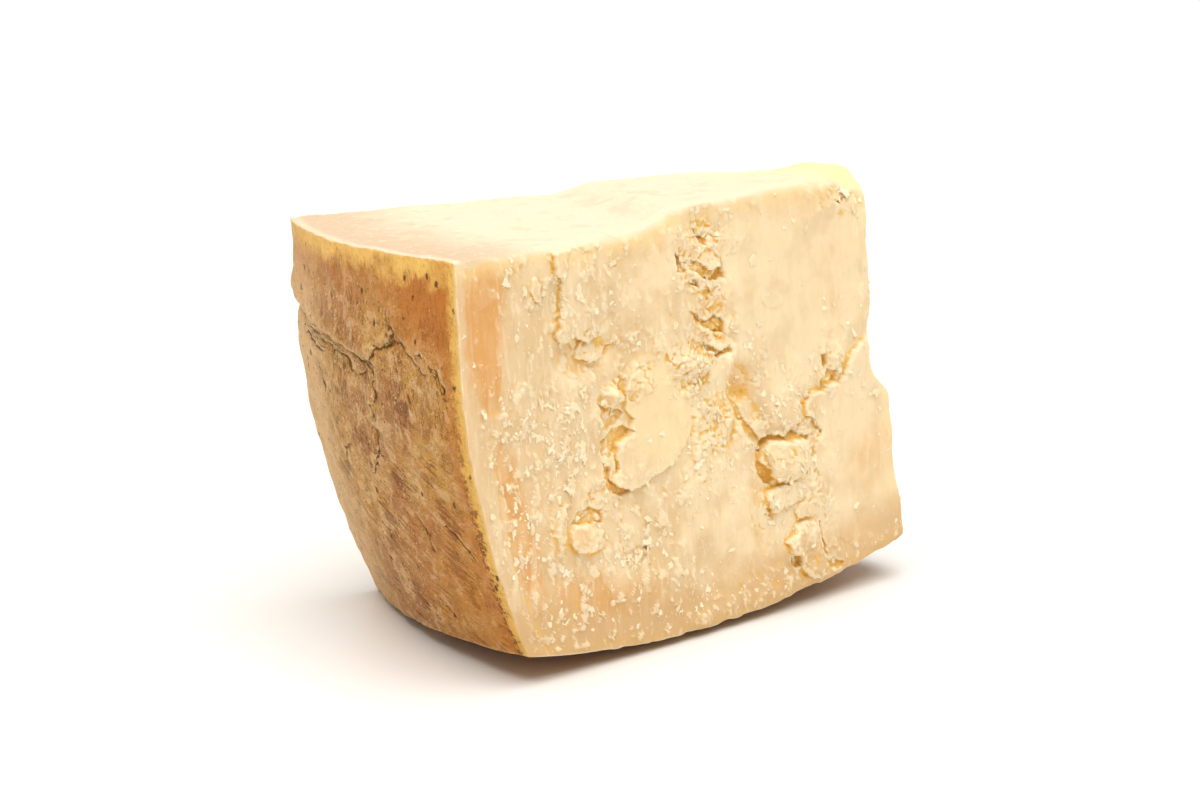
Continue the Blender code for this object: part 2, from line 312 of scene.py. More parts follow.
RIND_GROOVES = (
    Groove(((125, 19), (107, 23), (92, 26), (80, 28.5), (68, 30), (55, 31), (44, 32.5)),
           1.0, 1.0, 1.5),
    Groove(((125, 23), (107, 27), (92, 29.5), (82, 31), (70, 32.4), (60, 34)), 1.8, 0.9, 0.0),
    Groove(((100, 31), (90, 33.5), (80, 34)), 1.2, 0.5, 0.0),
    Groove(((44, 32.5), (38.7, 28.7), (34, 26.4), (32.7, 25.4), (30.7, 21.6)), 1.0, 1.0, 0.6),
    Groove(((32.7, 25.4), (26.5, 25.3), (21.9, 28.2), (17, 33)), 0.9, 0.5, 0.4),
    Groove(((44, 33), (45, 43), (48, 50), (46, 60)), 1.0, 0.6, 0.2),
    Groove(((45, 52), (47.5, 57), (50, 61), (54, 66)), 1.0, 1.0, 0.2),
    Groove(((62, 34), (56, 38), (50, 36), (46, 34)), 1.8, 0.8, 0.0),
    Groove(((64, 53.8), (66, 58), (74, 62), (76, 66)), 0.8, 0.5, 0.0),
    Groove(((10.5, 30.5), (8.5, 35), (7.3, 39.5)), 0.8, 0.5, 0.1),
    Groove(((17.5, 27.5), (14, 29), (11.5, 34)), 0.8, 0.4, 0.1),
    Groove(((18, 76), (13, 82), (9.5, 86)), 0.9, 0.4, 0.1),
    Groove(((34, 74), (30, 82), (29, 86)), 0.9, 0.5, 0.1),
)


# Shape ------------------------------------------------------------------------------------------

TINY = 1e-6           # keeps a division by a length safe


def smooth_step(value):
    """0 below 0, 1 above 1, and smooth between."""
    value = np.clip(value, 0.0, 1.0)
    return value * value * (3.0 - 2.0 * value)


def bell(distance, width):
    """1 at distance 0, and hardly anything beyond twice the width."""
    return np.exp(-((distance / width) ** 2))


def wave(x, y, z, length, seed):
    """Smooth noise between about -1 and 1 at each point, with bumps of the given length."""
    shifts = (seed, 2.7 * seed, -1.3 * seed)
    x, y, z = np.broadcast_arrays(x, y, z)
    scaled = (part / length + shift for part, shift in zip((x, y, z), shifts))
    return np.array([noise.noise(place) for place in zip(*(part.tolist() for part in scaled))])


def waves(place, parts, start=0.0):
    """Waves on top of each other, from a start: each part is (height, length, seed)."""
    return sum((height * wave(*place, length, seed) for height, length, seed in parts), start)


def ragged(along, down, along_waves, down_waves):
    """Points shifted to and fro along a side, so that what is smooth comes out ragged."""
    place = (along, down, 0.0)
    return waves(place, along_waves, along), waves(place, down_waves, down)


def oval_reach(oval, along, down):
    """0 at an oval's centre, 1 on its edge."""
    turn = math.radians(oval.turn)
    a = along - oval.along
    d = down - oval.down
    across = (a * math.cos(turn) + d * math.sin(turn)) / oval.half_along
    up = (d * math.cos(turn) - a * math.sin(turn)) / oval.half_down
    return np.hypot(across, up)


def patches_height(patches, along, down):
    """Total height of a side's patches at each point of that side."""
    height = np.zeros_like(along)
    for patch in patches:
        reach = oval_reach(patch, along, down)
        height += patch.height * smooth_step((1.0 - reach) / patch.edge + 0.5)
    return height


def barrel_inset(depth):
    """How far the barrel side has come in at a depth below mid height."""
    return np.maximum(depth - BARREL_STRAIGHT, 0.0) ** 2 / (2.0 * BARREL_RADIUS)


def tip_reach(depth):
    """X of the tip's front edge at a depth below the top."""
    step = smooth_step((depth - TIP_STEP_DEPTH) / TIP_STEP_HEIGHT + 0.5)
    notch = bell(depth - TIP_NOTCH_DEPTH, TIP_NOTCH_HEIGHT)
    below = np.maximum(depth - TIP_STEP_DEPTH, 0.0)
    return TIP_REACH + TIP_STEP * step - TIP_NOTCH * notch + TIP_SPREAD * below


def plan_point(s, t, depth):
    """X and Y of a point: s from the rind to the tip, t from the front side to the back side."""
    angle = WEDGE_ANGLE * t
    radius = WHEEL_RADIUS - barrel_inset(depth)
    rind_x = WHEEL_RADIUS - radius * np.cos(angle)
    rind_y = radius * np.sin(angle)
    tip_x = tip_reach(depth) + (TIP_BACK_X - TIP_REACH) * t + TIP_BULGE * 4.0 * t * (1.0 - t)
    tip_y = TIP_BACK_Y * t
    return rind_x + (tip_x - rind_x) * s, rind_y + (tip_y - rind_y) * s


def top_height(x, y):
    """Height of the split top above the near top corner."""
    height = patches_height(TOP_PATCHES, x / MM, y / MM) * MM
    for step in TOP_STEPS:
        height += step.rise * smooth_step((x - step.start - step.skew * y) / step.length)
    return height + waves((x, y, 0.0), (TOP_WAVE,)) * smooth_step(x / TOP_WAVE_GROWS)


def face_depth(x, y):
    """Depth of the wheel's domed face, cut flat where it meets the table."""
    radius = np.hypot(WHEEL_RADIUS - x, y)
    outer = np.maximum(radius - RING_RADIUS, 0.0) / (RIM_RADIUS - RING_RADIUS)
    inner = np.maximum(RING_RADIUS - radius, 0.0) / (RING_RADIUS - TIP_RADIUS)
    depth = RING_DEPTH - RIM_LIFT * outer**2 - TIP_LIFT * inner**2
    table = (TABLE_DEPTH - y * math.sin(LEAN)) / math.cos(LEAN)
    return np.minimum(depth, table)


def round_over(inward, depth, radius):
    """Round the edge between two sides: how far points lie in from one and down from the other."""
    u = np.clip(1.0 - inward / radius, 0.0, 1.0)
    v = np.clip(1.0 - depth / radius, 0.0, 1.0)
    larger = np.maximum(u, v)
    turn = math.pi / 4.0 * np.minimum(u, v) / np.maximum(larger, TINY)
    near, far = larger * np.cos(turn), larger * np.sin(turn)
    by_edge = (u > 0.0) & (v > 0.0)
    new_inward = radius * (1.0 - np.where(u >= v, near, far))
    new_depth = radius * (1.0 - np.where(u >= v, far, near))
    return np.where(by_edge, new_inward, inward), np.where(by_edge, new_depth, depth)


def lean_back(x, y, z):
    """Turn points from the wheel's axes to a table-top pose, with the table at zero."""
    cos, sin = math.cos(LEAN), math.sin(LEAN)
    return x, y * cos + z * sin, z * cos - y * sin + TABLE_DEPTH


# Relief -----------------------------------------------------------------------------------------


def steps_to_edge(start, end, along, down):
    """How far each point lies from an edge, along and down."""
    edge_along, edge_down = end[0] - start[0], end[1] - start[1]
    part = (along - start[0]) * edge_along + (down - start[1]) * edge_down
    part = np.clip(part / (edge_along**2 + edge_down**2), 0.0, 1.0)
    return start[0] + part * edge_along - along, start[1] + part * edge_down - down


def outline_distance(outline, along, down):
    """Distance of each point to an outline, above 0 inside it, and the steps to its edge."""
    inside = np.zeros(len(along), bool)
    nearest = np.full(len(along), np.inf)
    step_along = np.zeros(len(along))
    step_down = np.zeros(len(along))
    for start, end in zip((outline[-1], *outline), outline):
        (x0, y0), (x1, y1) = start, end
        if y1 != y0:
            crossing = (x1 - x0) * (down - y0) / (y1 - y0) + x0
            inside ^= ((y0 > down) != (y1 > down)) & (along < crossing)
        gap_along, gap_down = steps_to_edge(start, end, along, down)
        gap = np.hypot(gap_along, gap_down)
        closer = gap < nearest
        nearest = np.where(closer, gap, nearest)
        step_along = np.where(closer, gap_along, step_along)
        step_down = np.where(closer, gap_down, step_down)
    return np.where(inside, nearest, -nearest), step_along, step_down


def line_distance(points, along, down):
    """Distance to an open line of points, above 0 below the line and under 0 above it."""
    nearest = np.full(len(along), np.inf)
    side = np.ones(len(along))
    for start, end in zip(points, points[1:]):
        gap_along, gap_down = steps_to_edge(start, end, along, down)
        gap = np.hypot(gap_along, gap_down)
        side = np.where(gap < nearest, np.where(gap_down <= 0.0, 1.0, -1.0), side)
        nearest = np.minimum(gap, nearest)
    return side * nearest


FAR_FROM_CRACK = 9.0


class Relief:
    """What a side's fine shape adds up to at each of its points, in millimetres."""

    def __init__(self, count):
        self.height = np.zeros(count)
        self.along = np.zeros(count)
        self.down = np.zeros(count)
        # What is noted of hollows is where shade is painted; what is noted as pale is dry paste and
        # painted highlight.
        self.hollow = np.zeros(count)
        self.pale = np.zeros(count)
        self.mark = np.zeros(count)
        self.crack = np.full(count, FAR_FROM_CRACK)


LIP_OVERHANG = 1.3    # how far a lip leans out at most
LIP_SHARE = 0.55      # how far it leans out, as a share of its cliff's height
SIDE_LIP = 0.2        # how much of that a lip has where it faces sideways
LIP_WIDTH = 1.0
PLATE_MARGIN = 4.0
PLATE_FADE = 0.6      # a plate thins out from this share of its reach
FULL_CLIFF = 1.6      # a cliff this high is shaded in full
FOOT_WIDTH = 0.9      # width of the shade at a cliff's foot
FLOOR_WIDTH = 2.5     # how far a cavity's wall shades its floor
NEAR_RIM = 0.05       # the least distance that a step is divided by


def near_outline(outline, along, down):
    """Which points lie inside an outline's bounds, widened by a margin."""
    xs, ys = zip(*outline)
    inside = (along > min(xs) - PLATE_MARGIN) & (along < max(xs) + PLATE_MARGIN)
    return inside & (down > min(ys) - PLATE_MARGIN) & (down < max(ys) + PLATE_MARGIN)


def kept_share(plate, along, down):
    """How much of a plate is left at each point, as it thins out."""
    if not plate.fade_reach:
        return 1.0
    xs, ys = zip(*plate.outline)
    turn = math.radians(plate.fade_turn)
    run = (along - sum(xs) / len(xs)) * math.cos(turn)
    run += (down - sum(ys) / len(ys)) * math.sin(turn)
    return smooth_step(PLATE_FADE - run / plate.fade_reach)


def add_plate(relief, plate, all_along, all_down):
    """Lay one plate on a side; its rim leans out over the cliff that it ends in."""
    near = np.flatnonzero(near_outline(plate.outline, all_along, all_down))
    along, down = all_along[near], all_down[near]
    distance, step_along, step_down = outline_distance(plate.outline, along, down)
    cover = smooth_step(distance / plate.edge + 0.5)
    keep = kept_share(plate, along, down)
    relief.height[near] += plate.rise * cover * keep
    rim = np.maximum(distance if plate.rise > 0.0 else -distance, 0.0)
    lip = keep * np.where(rim > 0.0, bell(rim, LIP_WIDTH), 0.0)
    facing = step_down / np.maximum(np.abs(distance), NEAR_RIM)
    lean = min(LIP_OVERHANG, LIP_SHARE * abs(plate.rise)) * lip / np.maximum(rim, NEAR_RIM)
    lean *= SIDE_LIP + (1.0 - SIDE_LIP) * smooth_step(facing)
    relief.along[near] += step_along * lean
    relief.down[near] += step_down * lean
    # A lip is painted palest where it faces down, partly as dry paste and partly as painted
    # highlight, and the low side of a cliff gets painted shade, most below a lip.
    sheltered = 0.25 + 0.75 * smooth_step(0.4 - facing)
    relief.pale[near] += lip * (0.15 + 0.75 * smooth_step(facing + 0.2))
    depth = min(abs(plate.rise) / FULL_CLIFF, 1.0) * keep
    # Painted shade: on a cavity's floor, darkest by its wall, or at the foot of a raised plate's
    # cliff.
    if plate.rise < 0.0:
        shade = 0.55 + 0.6 * sheltered * np.exp(-rim / FLOOR_WIDTH)
        relief.hollow[near] += cover * depth * shade
    else:
        foot = np.where(distance < 0.0, bell(distance, FOOT_WIDTH), 0.0)
        relief.hollow[near] += 1.3 * depth * foot * sheltered


def mixed(shares, parts):
    """Shares of several parts, added up."""
    return sum(share * part for share, part in zip(shares, parts))


def scaled(along, down, size, seed):
    """Broken scales of paste, from 0 to 1: each is proudest just above its ragged lower end."""
    bends = ((1.3, 1.5 * size, seed), (0.4, 0.5 * size, seed + 1.0))
    count = waves((along, down, 0.0), bends, down / size)
    part = count - np.floor(count)
    return part * (1.0 - smooth_step((part - 0.9) / 0.1))


def flaked(along, down, size, seed):
    """Layers of broken paste: a level from about -2 to 2, and flat steps with ragged cliffs."""
    level = 3.4 * wave(along, 0.85 * down, 0.0, 1.5 * size, seed)
    level += 0.5 * wave(along, down, 0.0, 0.4 * size, seed + 1.0)
    part = level - np.floor(level)
    return level, np.floor(level) + smooth_step(part / 0.2) + 0.25 * part


# What crumbled paste has of its scales, its flakes and its fine flakes: in its height, in the
# painted shade of its hollows where they are sunk, and in its pale places where they are raised,
# paler partly as dry paste and partly as painted highlight.
CRUMBLED_HEIGHT = (0.45, 0.55, 0.14)
CRUMBLED_HOLLOW_SHADE = (0.4, 0.7, 0.3)
CRUMBLED_PALE = (0.4, 0.6, 0.3)


def add_crumbled(relief, near, place, weight, rough, size, seed):
    """Break the surface into scales and flakes of about a size, with finer flakes on them."""
    scales = scaled(*place, 1.2 * size, seed)
    level, flakes = flaked(*place, size, seed + 11.0)
    fine_level, fine_flakes = flaked(*place, 0.5 * size, seed + 14.0)
    relief.height[near] += weight * rough * mixed(CRUMBLED_HEIGHT, (scales, flakes, fine_flakes))
    levels = np.stack((0.7 * level, 0.8 * fine_level))
    sunk = mixed(CRUMBLED_HOLLOW_SHADE, (smooth_step((0.3 - scales) / 0.3), *smooth_step(-levels)))
    raised = mixed(CRUMBLED_PALE, (smooth_step((scales - 0.55) / 0.3), *smooth_step(levels)))
    relief.hollow[near] += weight * min(rough, 1.0) ** 2 * sunk
    relief.pale[near] += weight * min(rough, 1.0) * raised


ZONE_WAVE = (0.5, 5.0, 17.0)
ZONE_REACH = 1.15
ZONE_FADE = 0.6
ZONE_SEED = 2.0


def add_zones(relief, zones, along, down):
    """Crumble a side's crumbled zones, each with a ragged outline."""
    shift = waves((along, down, 0.0), (ZONE_WAVE,))
    for zone in zones:
        reach = oval_reach(zone, along, down) - shift
        near = np.flatnonzero(reach < ZONE_REACH)
        weight = smooth_step((ZONE_REACH - reach[near]) / ZONE_FADE)
        place = along[near], down[near]
        add_crumbled(relief, near, place, weight, zone.rough, zone.size, ZONE_SEED)


# Scabs of torn paste: (length, height, level above which the noise makes one, how pale they are),
# with the length and height in millimetres. The layers under them are broad and low.
SCABS = ((8.0, 0.4, 0.2, 0.3), (3.6, 0.35, 0.26, 0.9), (2.0, 0.25, 0.32, 0.7))
SCAB_SQUASH = 0.72    # scabs are taller than wide
SCAB_RAGGED = 0.18
LAYER_WAVE = (2.2, 16.0)
LAYER_SQUASH = 0.6
LAYER_RAGGED = 0.16
LAYER_CLIFF = 0.08
LAYER_HEIGHT = 0.2


def add_scabs(relief, along, down, seed, strength=1.0):
    """Low ragged scabs of paste, taller than wide, left all over where the cheese tore."""
    edges = wave(along, down, 0.0, 1.3, seed + 3.0)
    for length, height, level, pale in SCABS:
        value = wave(along, down * SCAB_SQUASH, 0.0, length, seed + length)
        cover = smooth_step((value + SCAB_RAGGED * edges - level) / (0.25 / length + 0.02))
        relief.height += strength * height * cover
        relief.pale += pale * cover * strength
    rise, length = LAYER_WAVE
    layers = rise * wave(along, down * LAYER_SQUASH, 0.0, length, seed + 9.0)
    layers = layers + LAYER_RAGGED * edges
    step = np.floor(layers) + smooth_step((layers - np.floor(layers)) / LAYER_CLIFF)
    relief.height += LAYER_HEIGHT * step * strength


# How the front side's outlines are shifted along it, and down it: (height, length, seed).
FRONT_RAGGED = (
    ((0.6, 6.0, 11.0), (0.6, 1.8, 12.0)),
    ((0.6, 6.0, 13.0), (0.6, 1.8, 14.0)),
)
FRONT_SCABS_SEED = 21.0

# The wedge was scored along the rind: from SCORED_FROM down, a band ends in a cliff with a groove
# beyond it, and above that there is only a shallow dip. Each of the three is (distance from the
# rind, width, height).
SCORED_FROM = 55.0
SCORED_FADE = 20.0
BAND = (4.6, 2.4, 0.5)
BAND_GROOVE = (6.8, 1.8, 0.3)
UPPER_DIP = (8.5, 4.0, 0.5)


def add_scored_band(relief, down, from_arris, shift):
    """Raise the band along the rind, and sink the groove and the dip beside it."""
    low = smooth_step((down - SCORED_FROM) / SCORED_FADE)
    edge, fade, rise = BAND
    band = 1.0 - smooth_step((from_arris - edge + 1.3 * shift) / fade)
    middle, width, depth = BAND_GROOVE
    groove = bell(from_arris - middle + shift, width)
    relief.height += low * (rise * band - depth * groove)
    middle, width, depth = UPPER_DIP
    relief.height -= (1.0 - low) * depth * bell(from_arris - middle + shift, width)
    # Painted shade in the groove.
    relief.hollow += 0.12 * low * groove


def front_relief(along, down, from_arris):
    """The front side: plates, cavities, crumbled zones, scabs, and the scored band."""
    shift, sink = (waves((along, down, 0.0), parts) for parts in FRONT_RAGGED)
    relief = Relief(len(along))
    for plate in FRONT_PLATES:
        add_plate(relief, plate, along + shift, down + sink)
    swells = patches_height(FRONT_SWELLS, along, down)
    relief.height += swells
    # Painted shade where the swells are sunk.
    relief.hollow += 0.16 * np.maximum(-swells, 0.0)
    add_zones(relief, FRONT_ZONES, along, down)
    torn = 1.0 - 0.85 * np.minimum(patches_height(CALM_PATCHES, along, down), 1.0)
    inner = smooth_step((from_arris - 3.0 + 0.8 * shift) / 3.0)
    add_scabs(relief, along, down, FRONT_SCABS_SEED, torn * (0.6 + 0.4 * inner))
    add_scored_band(relief, down, from_arris, shift)
    return relief


BUSY_HEIGHT = 0.8     # relief above this needs the finest cells
BUSY_REACH = 1.1
BUSY_RIM = 2.0


def busy_front(along, down):
    """Which points of the front side need the finest cells."""
    busy = np.zeros(len(along), bool)
    for zone in FRONT_ZONES:
        busy |= (oval_reach(zone, along, down) < BUSY_REACH) & (zone.rough > BUSY_HEIGHT)
    for plate in FRONT_PLATES:
        near = np.flatnonzero(near_outline(plate.outline, along, down))
        distance = outline_distance(plate.outline, along[near], down[near])[0]
        busy[near] |= (np.abs(distance) < BUSY_RIM) & (abs(plate.rise) > BUSY_HEIGHT)
    return busy


TORN_ZONE_LENGTH = 26.0
TORN_FLAKE_SIZE = 4.2
TORN_HOLLOW_SHADE = 0.45


def torn_relief(along, down, seed):
    """A broken side that is like the front one, with its own crumbled zones."""
    relief = Relief(len(along))
    add_scabs(relief, along, down, seed)
    zone = wave(along, down, 0.0, TORN_ZONE_LENGTH, seed + 2.0)
    zone = smooth_step((zone - 0.05) / 0.2)
    near = np.flatnonzero(zone > 0.0)
    place = along[near], down[near]
    add_crumbled(relief, near, place, zone[near], 1.0, TORN_FLAKE_SIZE, seed)
    # These sides get less of the painted shade in their hollows.
    relief.hollow *= TORN_HOLLOW_SHADE
    return relief


# The rind's unevenness, and how its grooves are shifted across it and down it.
RIND_WAVES = ((0.5, 24.0, 6.0), (0.6, 8.0, 7.0), (0.3, 3.2, 8.0))
RIND_RAGGED = (
    ((1.5, 6.0, 9.0), (0.8, 2.0, 18.0)),
    ((1.5, 6.0, 10.0), (0.8, 2.0, 19.0)),
)
CREASE_WAVES = ((1.0, 1.6, 28.0), (0.7, 3.5, 29.0))
CREASE_ROUGH = 0.6
BULGE_REACH = 7.0
POCK_CELL = 5.0
POCK_WIDTH = 0.9
POCK_DEPTH = 0.5
POCK_MARK = 0.6
POCK_PICK = 0.2       # a cell has a pock where its noise is above this


def add_pocks(relief, across, down):
    """Sink a small round pock in some of the cells of a random net."""
    reach = []
    deep = []
    for place in zip((across / POCK_CELL).tolist(), (down / POCK_CELL).tolist()):
        distances, points = noise.voronoi((*place, 4.0))
        reach.append(distances[0] * POCK_CELL)
        deep.append(noise.noise(points[0] * 5.3) > POCK_PICK)
    pocks = bell(np.array(reach), POCK_WIDTH) * np.array(deep)
    relief.height -= POCK_DEPTH * pocks
    relief.mark += POCK_MARK * pocks


def rind_relief(across, down):
    """The rind: shallow waves, creases with a bulging upper side, and pocks."""
    place = (across, down, 0.0)
    relief = Relief(len(across))
    relief.height = waves(place, RIND_WAVES)
    shifted, lowered = ragged(across, down, *RIND_RAGGED)
    lumps = waves(place, CREASE_WAVES)
    for groove in RIND_GROOVES:
        distance = line_distance(groove.points, shifted, lowered)
        cut = bell(distance, groove.width)
        closer = np.abs(distance) < np.abs(relief.crack)
        relief.crack = np.where(closer, distance, relief.crack)
        relief.height -= groove.depth * cut
        relief.mark += cut * min(groove.depth, 1.0)
        relief.height += CREASE_ROUGH * cut * lumps
        swell = bell(distance, BULGE_REACH) * smooth_step(-distance / 1.5)
        relief.height += groove.bulge * swell
    add_pocks(relief, across, down)
    return relief


# Body -------------------------------------------------------------------------------------------

ATTRIBUTES = ("hollow", "pale", "warm", "butter", "calm", "upper", "from_top", "from_side",
              "from_face", "across", "down", "mark", "crack")
SIDE_FADE = 12.0      # how fast fine relief dies away behind its own side
BROAD_FADE = 8.0      # how fast broad relief grows away from the rind
FINE_FADE = 45.0      # how fast fine relief grows away from the rind
TIP_FADE = 14.0       # the same on the tip, above the face
TIP_FRONT_FADE = 12.0
BACK_LESS_SHADE = 0.35     # how much less golden painted shade the back side's hollows get
BACK_RAGGED = (
    ((4.0, 14.0, 81.0), (1.8, 5.0, 82.0)),
    ((4.0, 14.0, 83.0), (1.8, 5.0, 84.0)),
)
BACK_SEED = 31.0
TIP_SEED = 51.0

# The top's scabs grow over its uppermost rows, from ROUGH_TOP of the height up.
ROUGH_TOP = 0.9
TOP_SCABS = 0.55
TOP_SQUASH = 1.8
TOP_SEED = 41.0
UPPER_FROM = 0.985    # above this share of the height a point counts as on the top

# Nicks in the front side's lower edge, in millimetres: they begin away from the rind.
NICK_DEPTH = 1.3
NICK_BEGIN = 12.0
NICK_FADE = 30.0

# How far the top edge is worn round, by the rind and away from it.
WORN_BY_RIND = 0.6
WORN_MORE = 2.6


def rough_top(x, y, w):
    """Height of the top, with low scabs on it."""
    top = top_height(x, y)
    upper = np.flatnonzero(w > ROUGH_TOP)
    layer = Relief(len(upper))
    add_scabs(layer, x[upper] / MM, y[upper] / MM * TOP_SQUASH, TOP_SEED, TOP_SCABS)
    top[upper] += layer.height * MM * smooth_step((w[upper] - ROUGH_TOP) / 0.1)
    return top


def nick_depth(x, t):
    """How far the front side's lower edge is nicked."""
    nicks = np.maximum(wave(x / MM, 0.0, 0.0, 7.0, 71.0) + 0.2, 0.0)
    nicks += 0.5 * np.maximum(wave(x / MM, 0.0, 0.0, 2.5, 72.0), 0.0)
    nicks *= NICK_DEPTH * np.exp(-30.0 * t) * smooth_step((x / MM - NICK_BEGIN) / NICK_FADE)
    return nicks * MM


def uneven(place, seed):
    """Broad and fine unevenness of a broken side, in millimetres."""
    return waves(place, ((*BROAD_WAVE, seed), (*FINE_WAVE, seed + 5.0)))


class Points:
    """Grid points of the chunk, with s, t and w each from 0 to 1.

    front, back, tip and rind are how far each side's relief moves a point, in millimetres, and
    noted is what the finish depends on.
    """

    def __init__(self, s, t, w):
        self.s, self.t, self.w = s, t, w
        flat = plan_point(s, t, 0.0)
        self.top = rough_top(*flat, w)
        nicks = nick_depth(flat[0], t)
        base = face_depth(*plan_point(s, t, RING_DEPTH - RIM_LIFT)) - nicks
        z = (self.top + base) * w - base
        depth = np.where(w == 0.0, base, np.maximum(-z, 0.0))
        self.x, self.y = plan_point(s, t, depth)
        self.z = np.where(w == 0.0, nicks - face_depth(self.x, self.y), z)
        self.inset = barrel_inset(depth)
        self.along, self.down = self.x / MM, -self.z / MM
        self.across = WEDGE_ANGLE * t * WHEEL_RADIUS / MM
        self.back_along = self.along * math.cos(WEDGE_ANGLE)
        self.back_along += self.y / MM * math.sin(WEDGE_ANGLE)
        self.noted = self.note_places()
        self.add_broad()
        self.along_shift = np.zeros_like(s)
        self.down_shift = np.zeros_like(s)
        self.rind = np.zeros_like(s)

    def note_places(self):
        """Distances from the edges and along the rind, in millimetres."""
        noted = {name: np.zeros_like(self.x) for name in ATTRIBUTES}
        radius = np.hypot(WHEEL_RADIUS - self.x, self.y)
        noted["crack"] += FAR_FROM_CRACK
        noted["from_side"] = (WHEEL_RADIUS - self.inset - radius) / MM
        noted["from_face"] = (face_depth(self.x, self.y) + self.z) / MM
        noted["from_top"] = (self.top - self.z) / MM
        noted["upper"] = smooth_step((self.w - UPPER_FROM) / 0.015)
        # Underneath, the rind's pattern runs on from the rim towards the wheel's middle.
        under = self.w == 0.0
        noted["across"] = np.where(under, self.across * (radius / WHEEL_RADIUS), self.across)
        noted["down"] = self.down + np.where(under, noted["from_side"], 0.0)
        return noted

    def add_broad(self):
        """Broad relief, which moves the points behind a side too, less towards the far side."""
        fade = smooth_step(self.w * BROAD_FADE) * smooth_step(self.s * BROAD_FADE)
        place = (self.along, self.y / MM, -self.down)
        self.front = uneven((self.along, 0.0, -self.down), 1.0)
        self.back = uneven(place, 2.0)
        swells = ragged(self.back_along, self.down, *BACK_RAGGED)
        self.back += patches_height(BACK_SWELLS, *swells)
        self.tip = uneven(place, 4.0)
        self.front *= (1.0 - self.t) * fade
        self.back *= self.t * fade
        self.tip *= self.s * fade

    def lay(self, side, here, relief, share):
        """Add fine relief to a side's height, and note its hollows, where shade is painted, and its
        pale places.
        """
        side[here] += relief.height * share
        self.noted["hollow"][here] += relief.hollow * share
        self.noted["pale"][here] += relief.pale * share

    def by_rind(self):
        """0 on the rind and underneath, 1 away from them."""
        return smooth_step(self.w * FINE_FADE) * smooth_step(self.s * FINE_FADE)

    def add_front(self):
        here = np.flatnonzero(self.t < 0.3)
        along, down, t = self.along[here], self.down[here], self.t[here]
        relief = front_relief(along, down, (self.along - self.inset / MM)[here])
        share = np.exp(-SIDE_FADE * t) * self.by_rind()[here]
        self.lay(self.front, here, relief, share)
        self.along_shift[here] = relief.along * share
        self.down_shift[here] = relief.down * share
        share = smooth_step(1.2 - 8.0 * t)
        for name, patches in HUE_PATCHES.items():
            self.noted[name][here] = patches_height(patches, along, down) * share

    def add_back(self):
        here = np.flatnonzero(self.t > 0.7)
        relief = torn_relief(self.back_along[here], self.down[here], BACK_SEED)
        share = np.exp(-SIDE_FADE * (1.0 - self.t[here])) * self.by_rind()[here]
        self.lay(self.back, here, relief, share)
        self.noted["hollow"][here] -= BACK_LESS_SHADE

    def add_tip(self):
        here = np.flatnonzero((self.s > 0.7) & (self.t > 0.0))
        relief = torn_relief(self.y[here] / MM, self.down[here], TIP_SEED)
        share = np.exp(-SIDE_FADE * (1.0 - self.s[here])) * smooth_step(self.w[here] * TIP_FADE)
        relief.height *= smooth_step(self.t[here] * TIP_FRONT_FADE)
        self.lay(self.tip, here, relief, share)

    def add_rind(self):
        here = np.flatnonzero(self.s < 0.3)
        relief = rind_relief(self.across[here], self.down[here])
        self.rind[here] = relief.height * np.exp(-SIDE_FADE * self.s[here])
        self.noted["mark"][here] = relief.mark
        self.noted["crack"][here] = relief.crack

    def places(self):
        """Where the points end up: the front top edge is worn round, and then all relief added."""
        soft = (WORN_BY_RIND + WORN_MORE * smooth_step((self.along - 4.0) / 16.0)) * MM
        y, sunk = round_over(self.y, self.top - self.z, soft)
        z = self.top - sunk
        cos, sin = math.cos(WEDGE_ANGLE), math.sin(WEDGE_ANGLE)
        angle = WEDGE_ANGLE * self.t
        out = self.tip + self.back * sin * (1.0 - self.s) - self.rind * np.cos(angle)
        x = self.x + out * MM
        y = y + (self.back * cos - self.front + self.rind * np.sin(angle)) * MM
        x = x + self.along_shift * MM
        z = z - self.down_shift * MM
        return np.stack(lean_back(x, y, z), axis=1)


def chunk_points(s, t, w):
    """Place grid points (s, t, w), each from 0 to 1, and note what their finish depends on."""
    points = Points(s, t, w)
    points.add_front()
    points.add_back()
    points.add_tip()
    points.add_rind()
    return points.places(), points.noted


ON_SIDE = 0.499       # a unit cube's sides lie beyond this
ON_END = 1e-5         # grid values this close to 0 or 1 are on the end


def on_front(vertex):
    return vertex.co.y < -ON_SIDE


def on_rind(vertex):
    return vertex.co.x < -ON_SIDE


def on_face(vertex):
    return vertex.co.z < -ON_SIDE


def runs_along(edge, axis):
    """True for an edge of the block that points along an axis."""
    return abs(edge.verts[0].co[axis] - edge.verts[1].co[axis]) > 1e-4


def cut_edges(block, edges, cuts):
    bmesh.ops.subdivide_edges(block, edges=edges, cuts=cuts, use_grid_fill=True)


def subdivided_block():
    """A unit cube cut into cells, finer on the front side and on the rind side."""
    block = bmesh.new()
    bmesh.ops.create_cube(block, size=1.0)
    for axis, count in enumerate(CELLS):
        uncut = [edge for edge in block.edges if edge.calc_length() > 0.9]
        cut_edges(block, [edge for edge in uncut if runs_along(edge, axis)], count - 1)
    fine = [
        edge
        for edge in block.edges
        if all(map(on_front, edge.verts)) or (all(map(on_rind, edge.verts)) and runs_along(edge, 2))
    ]
    cut_edges(block, fine, 1)
    across = [
        edge for edge in block.edges if all(map(on_rind, edge.verts)) and runs_along(edge, 1)
    ]
    cut_edges(block, across, RIND_CUTS)

    # The busiest parts of the front side are cut once more.
    faces = [face for face in block.faces if all(map(on_front, face.verts))]
    middles = np.array([face.calc_center_median() for face in faces]) + 0.5
    x, y = plan_point(middles[:, 0], 0.0, (1.0 - middles[:, 2]) * TABLE_DEPTH)
    busy = busy_front(x / MM, (1.0 - middles[:, 2]) * TABLE_DEPTH / MM)
    edges = {edge for face, wanted in zip(faces, busy) if wanted for edge in face.edges}
    cut_edges(block, sorted(edges, key=lambda edge: edge.index), 1)
    return block


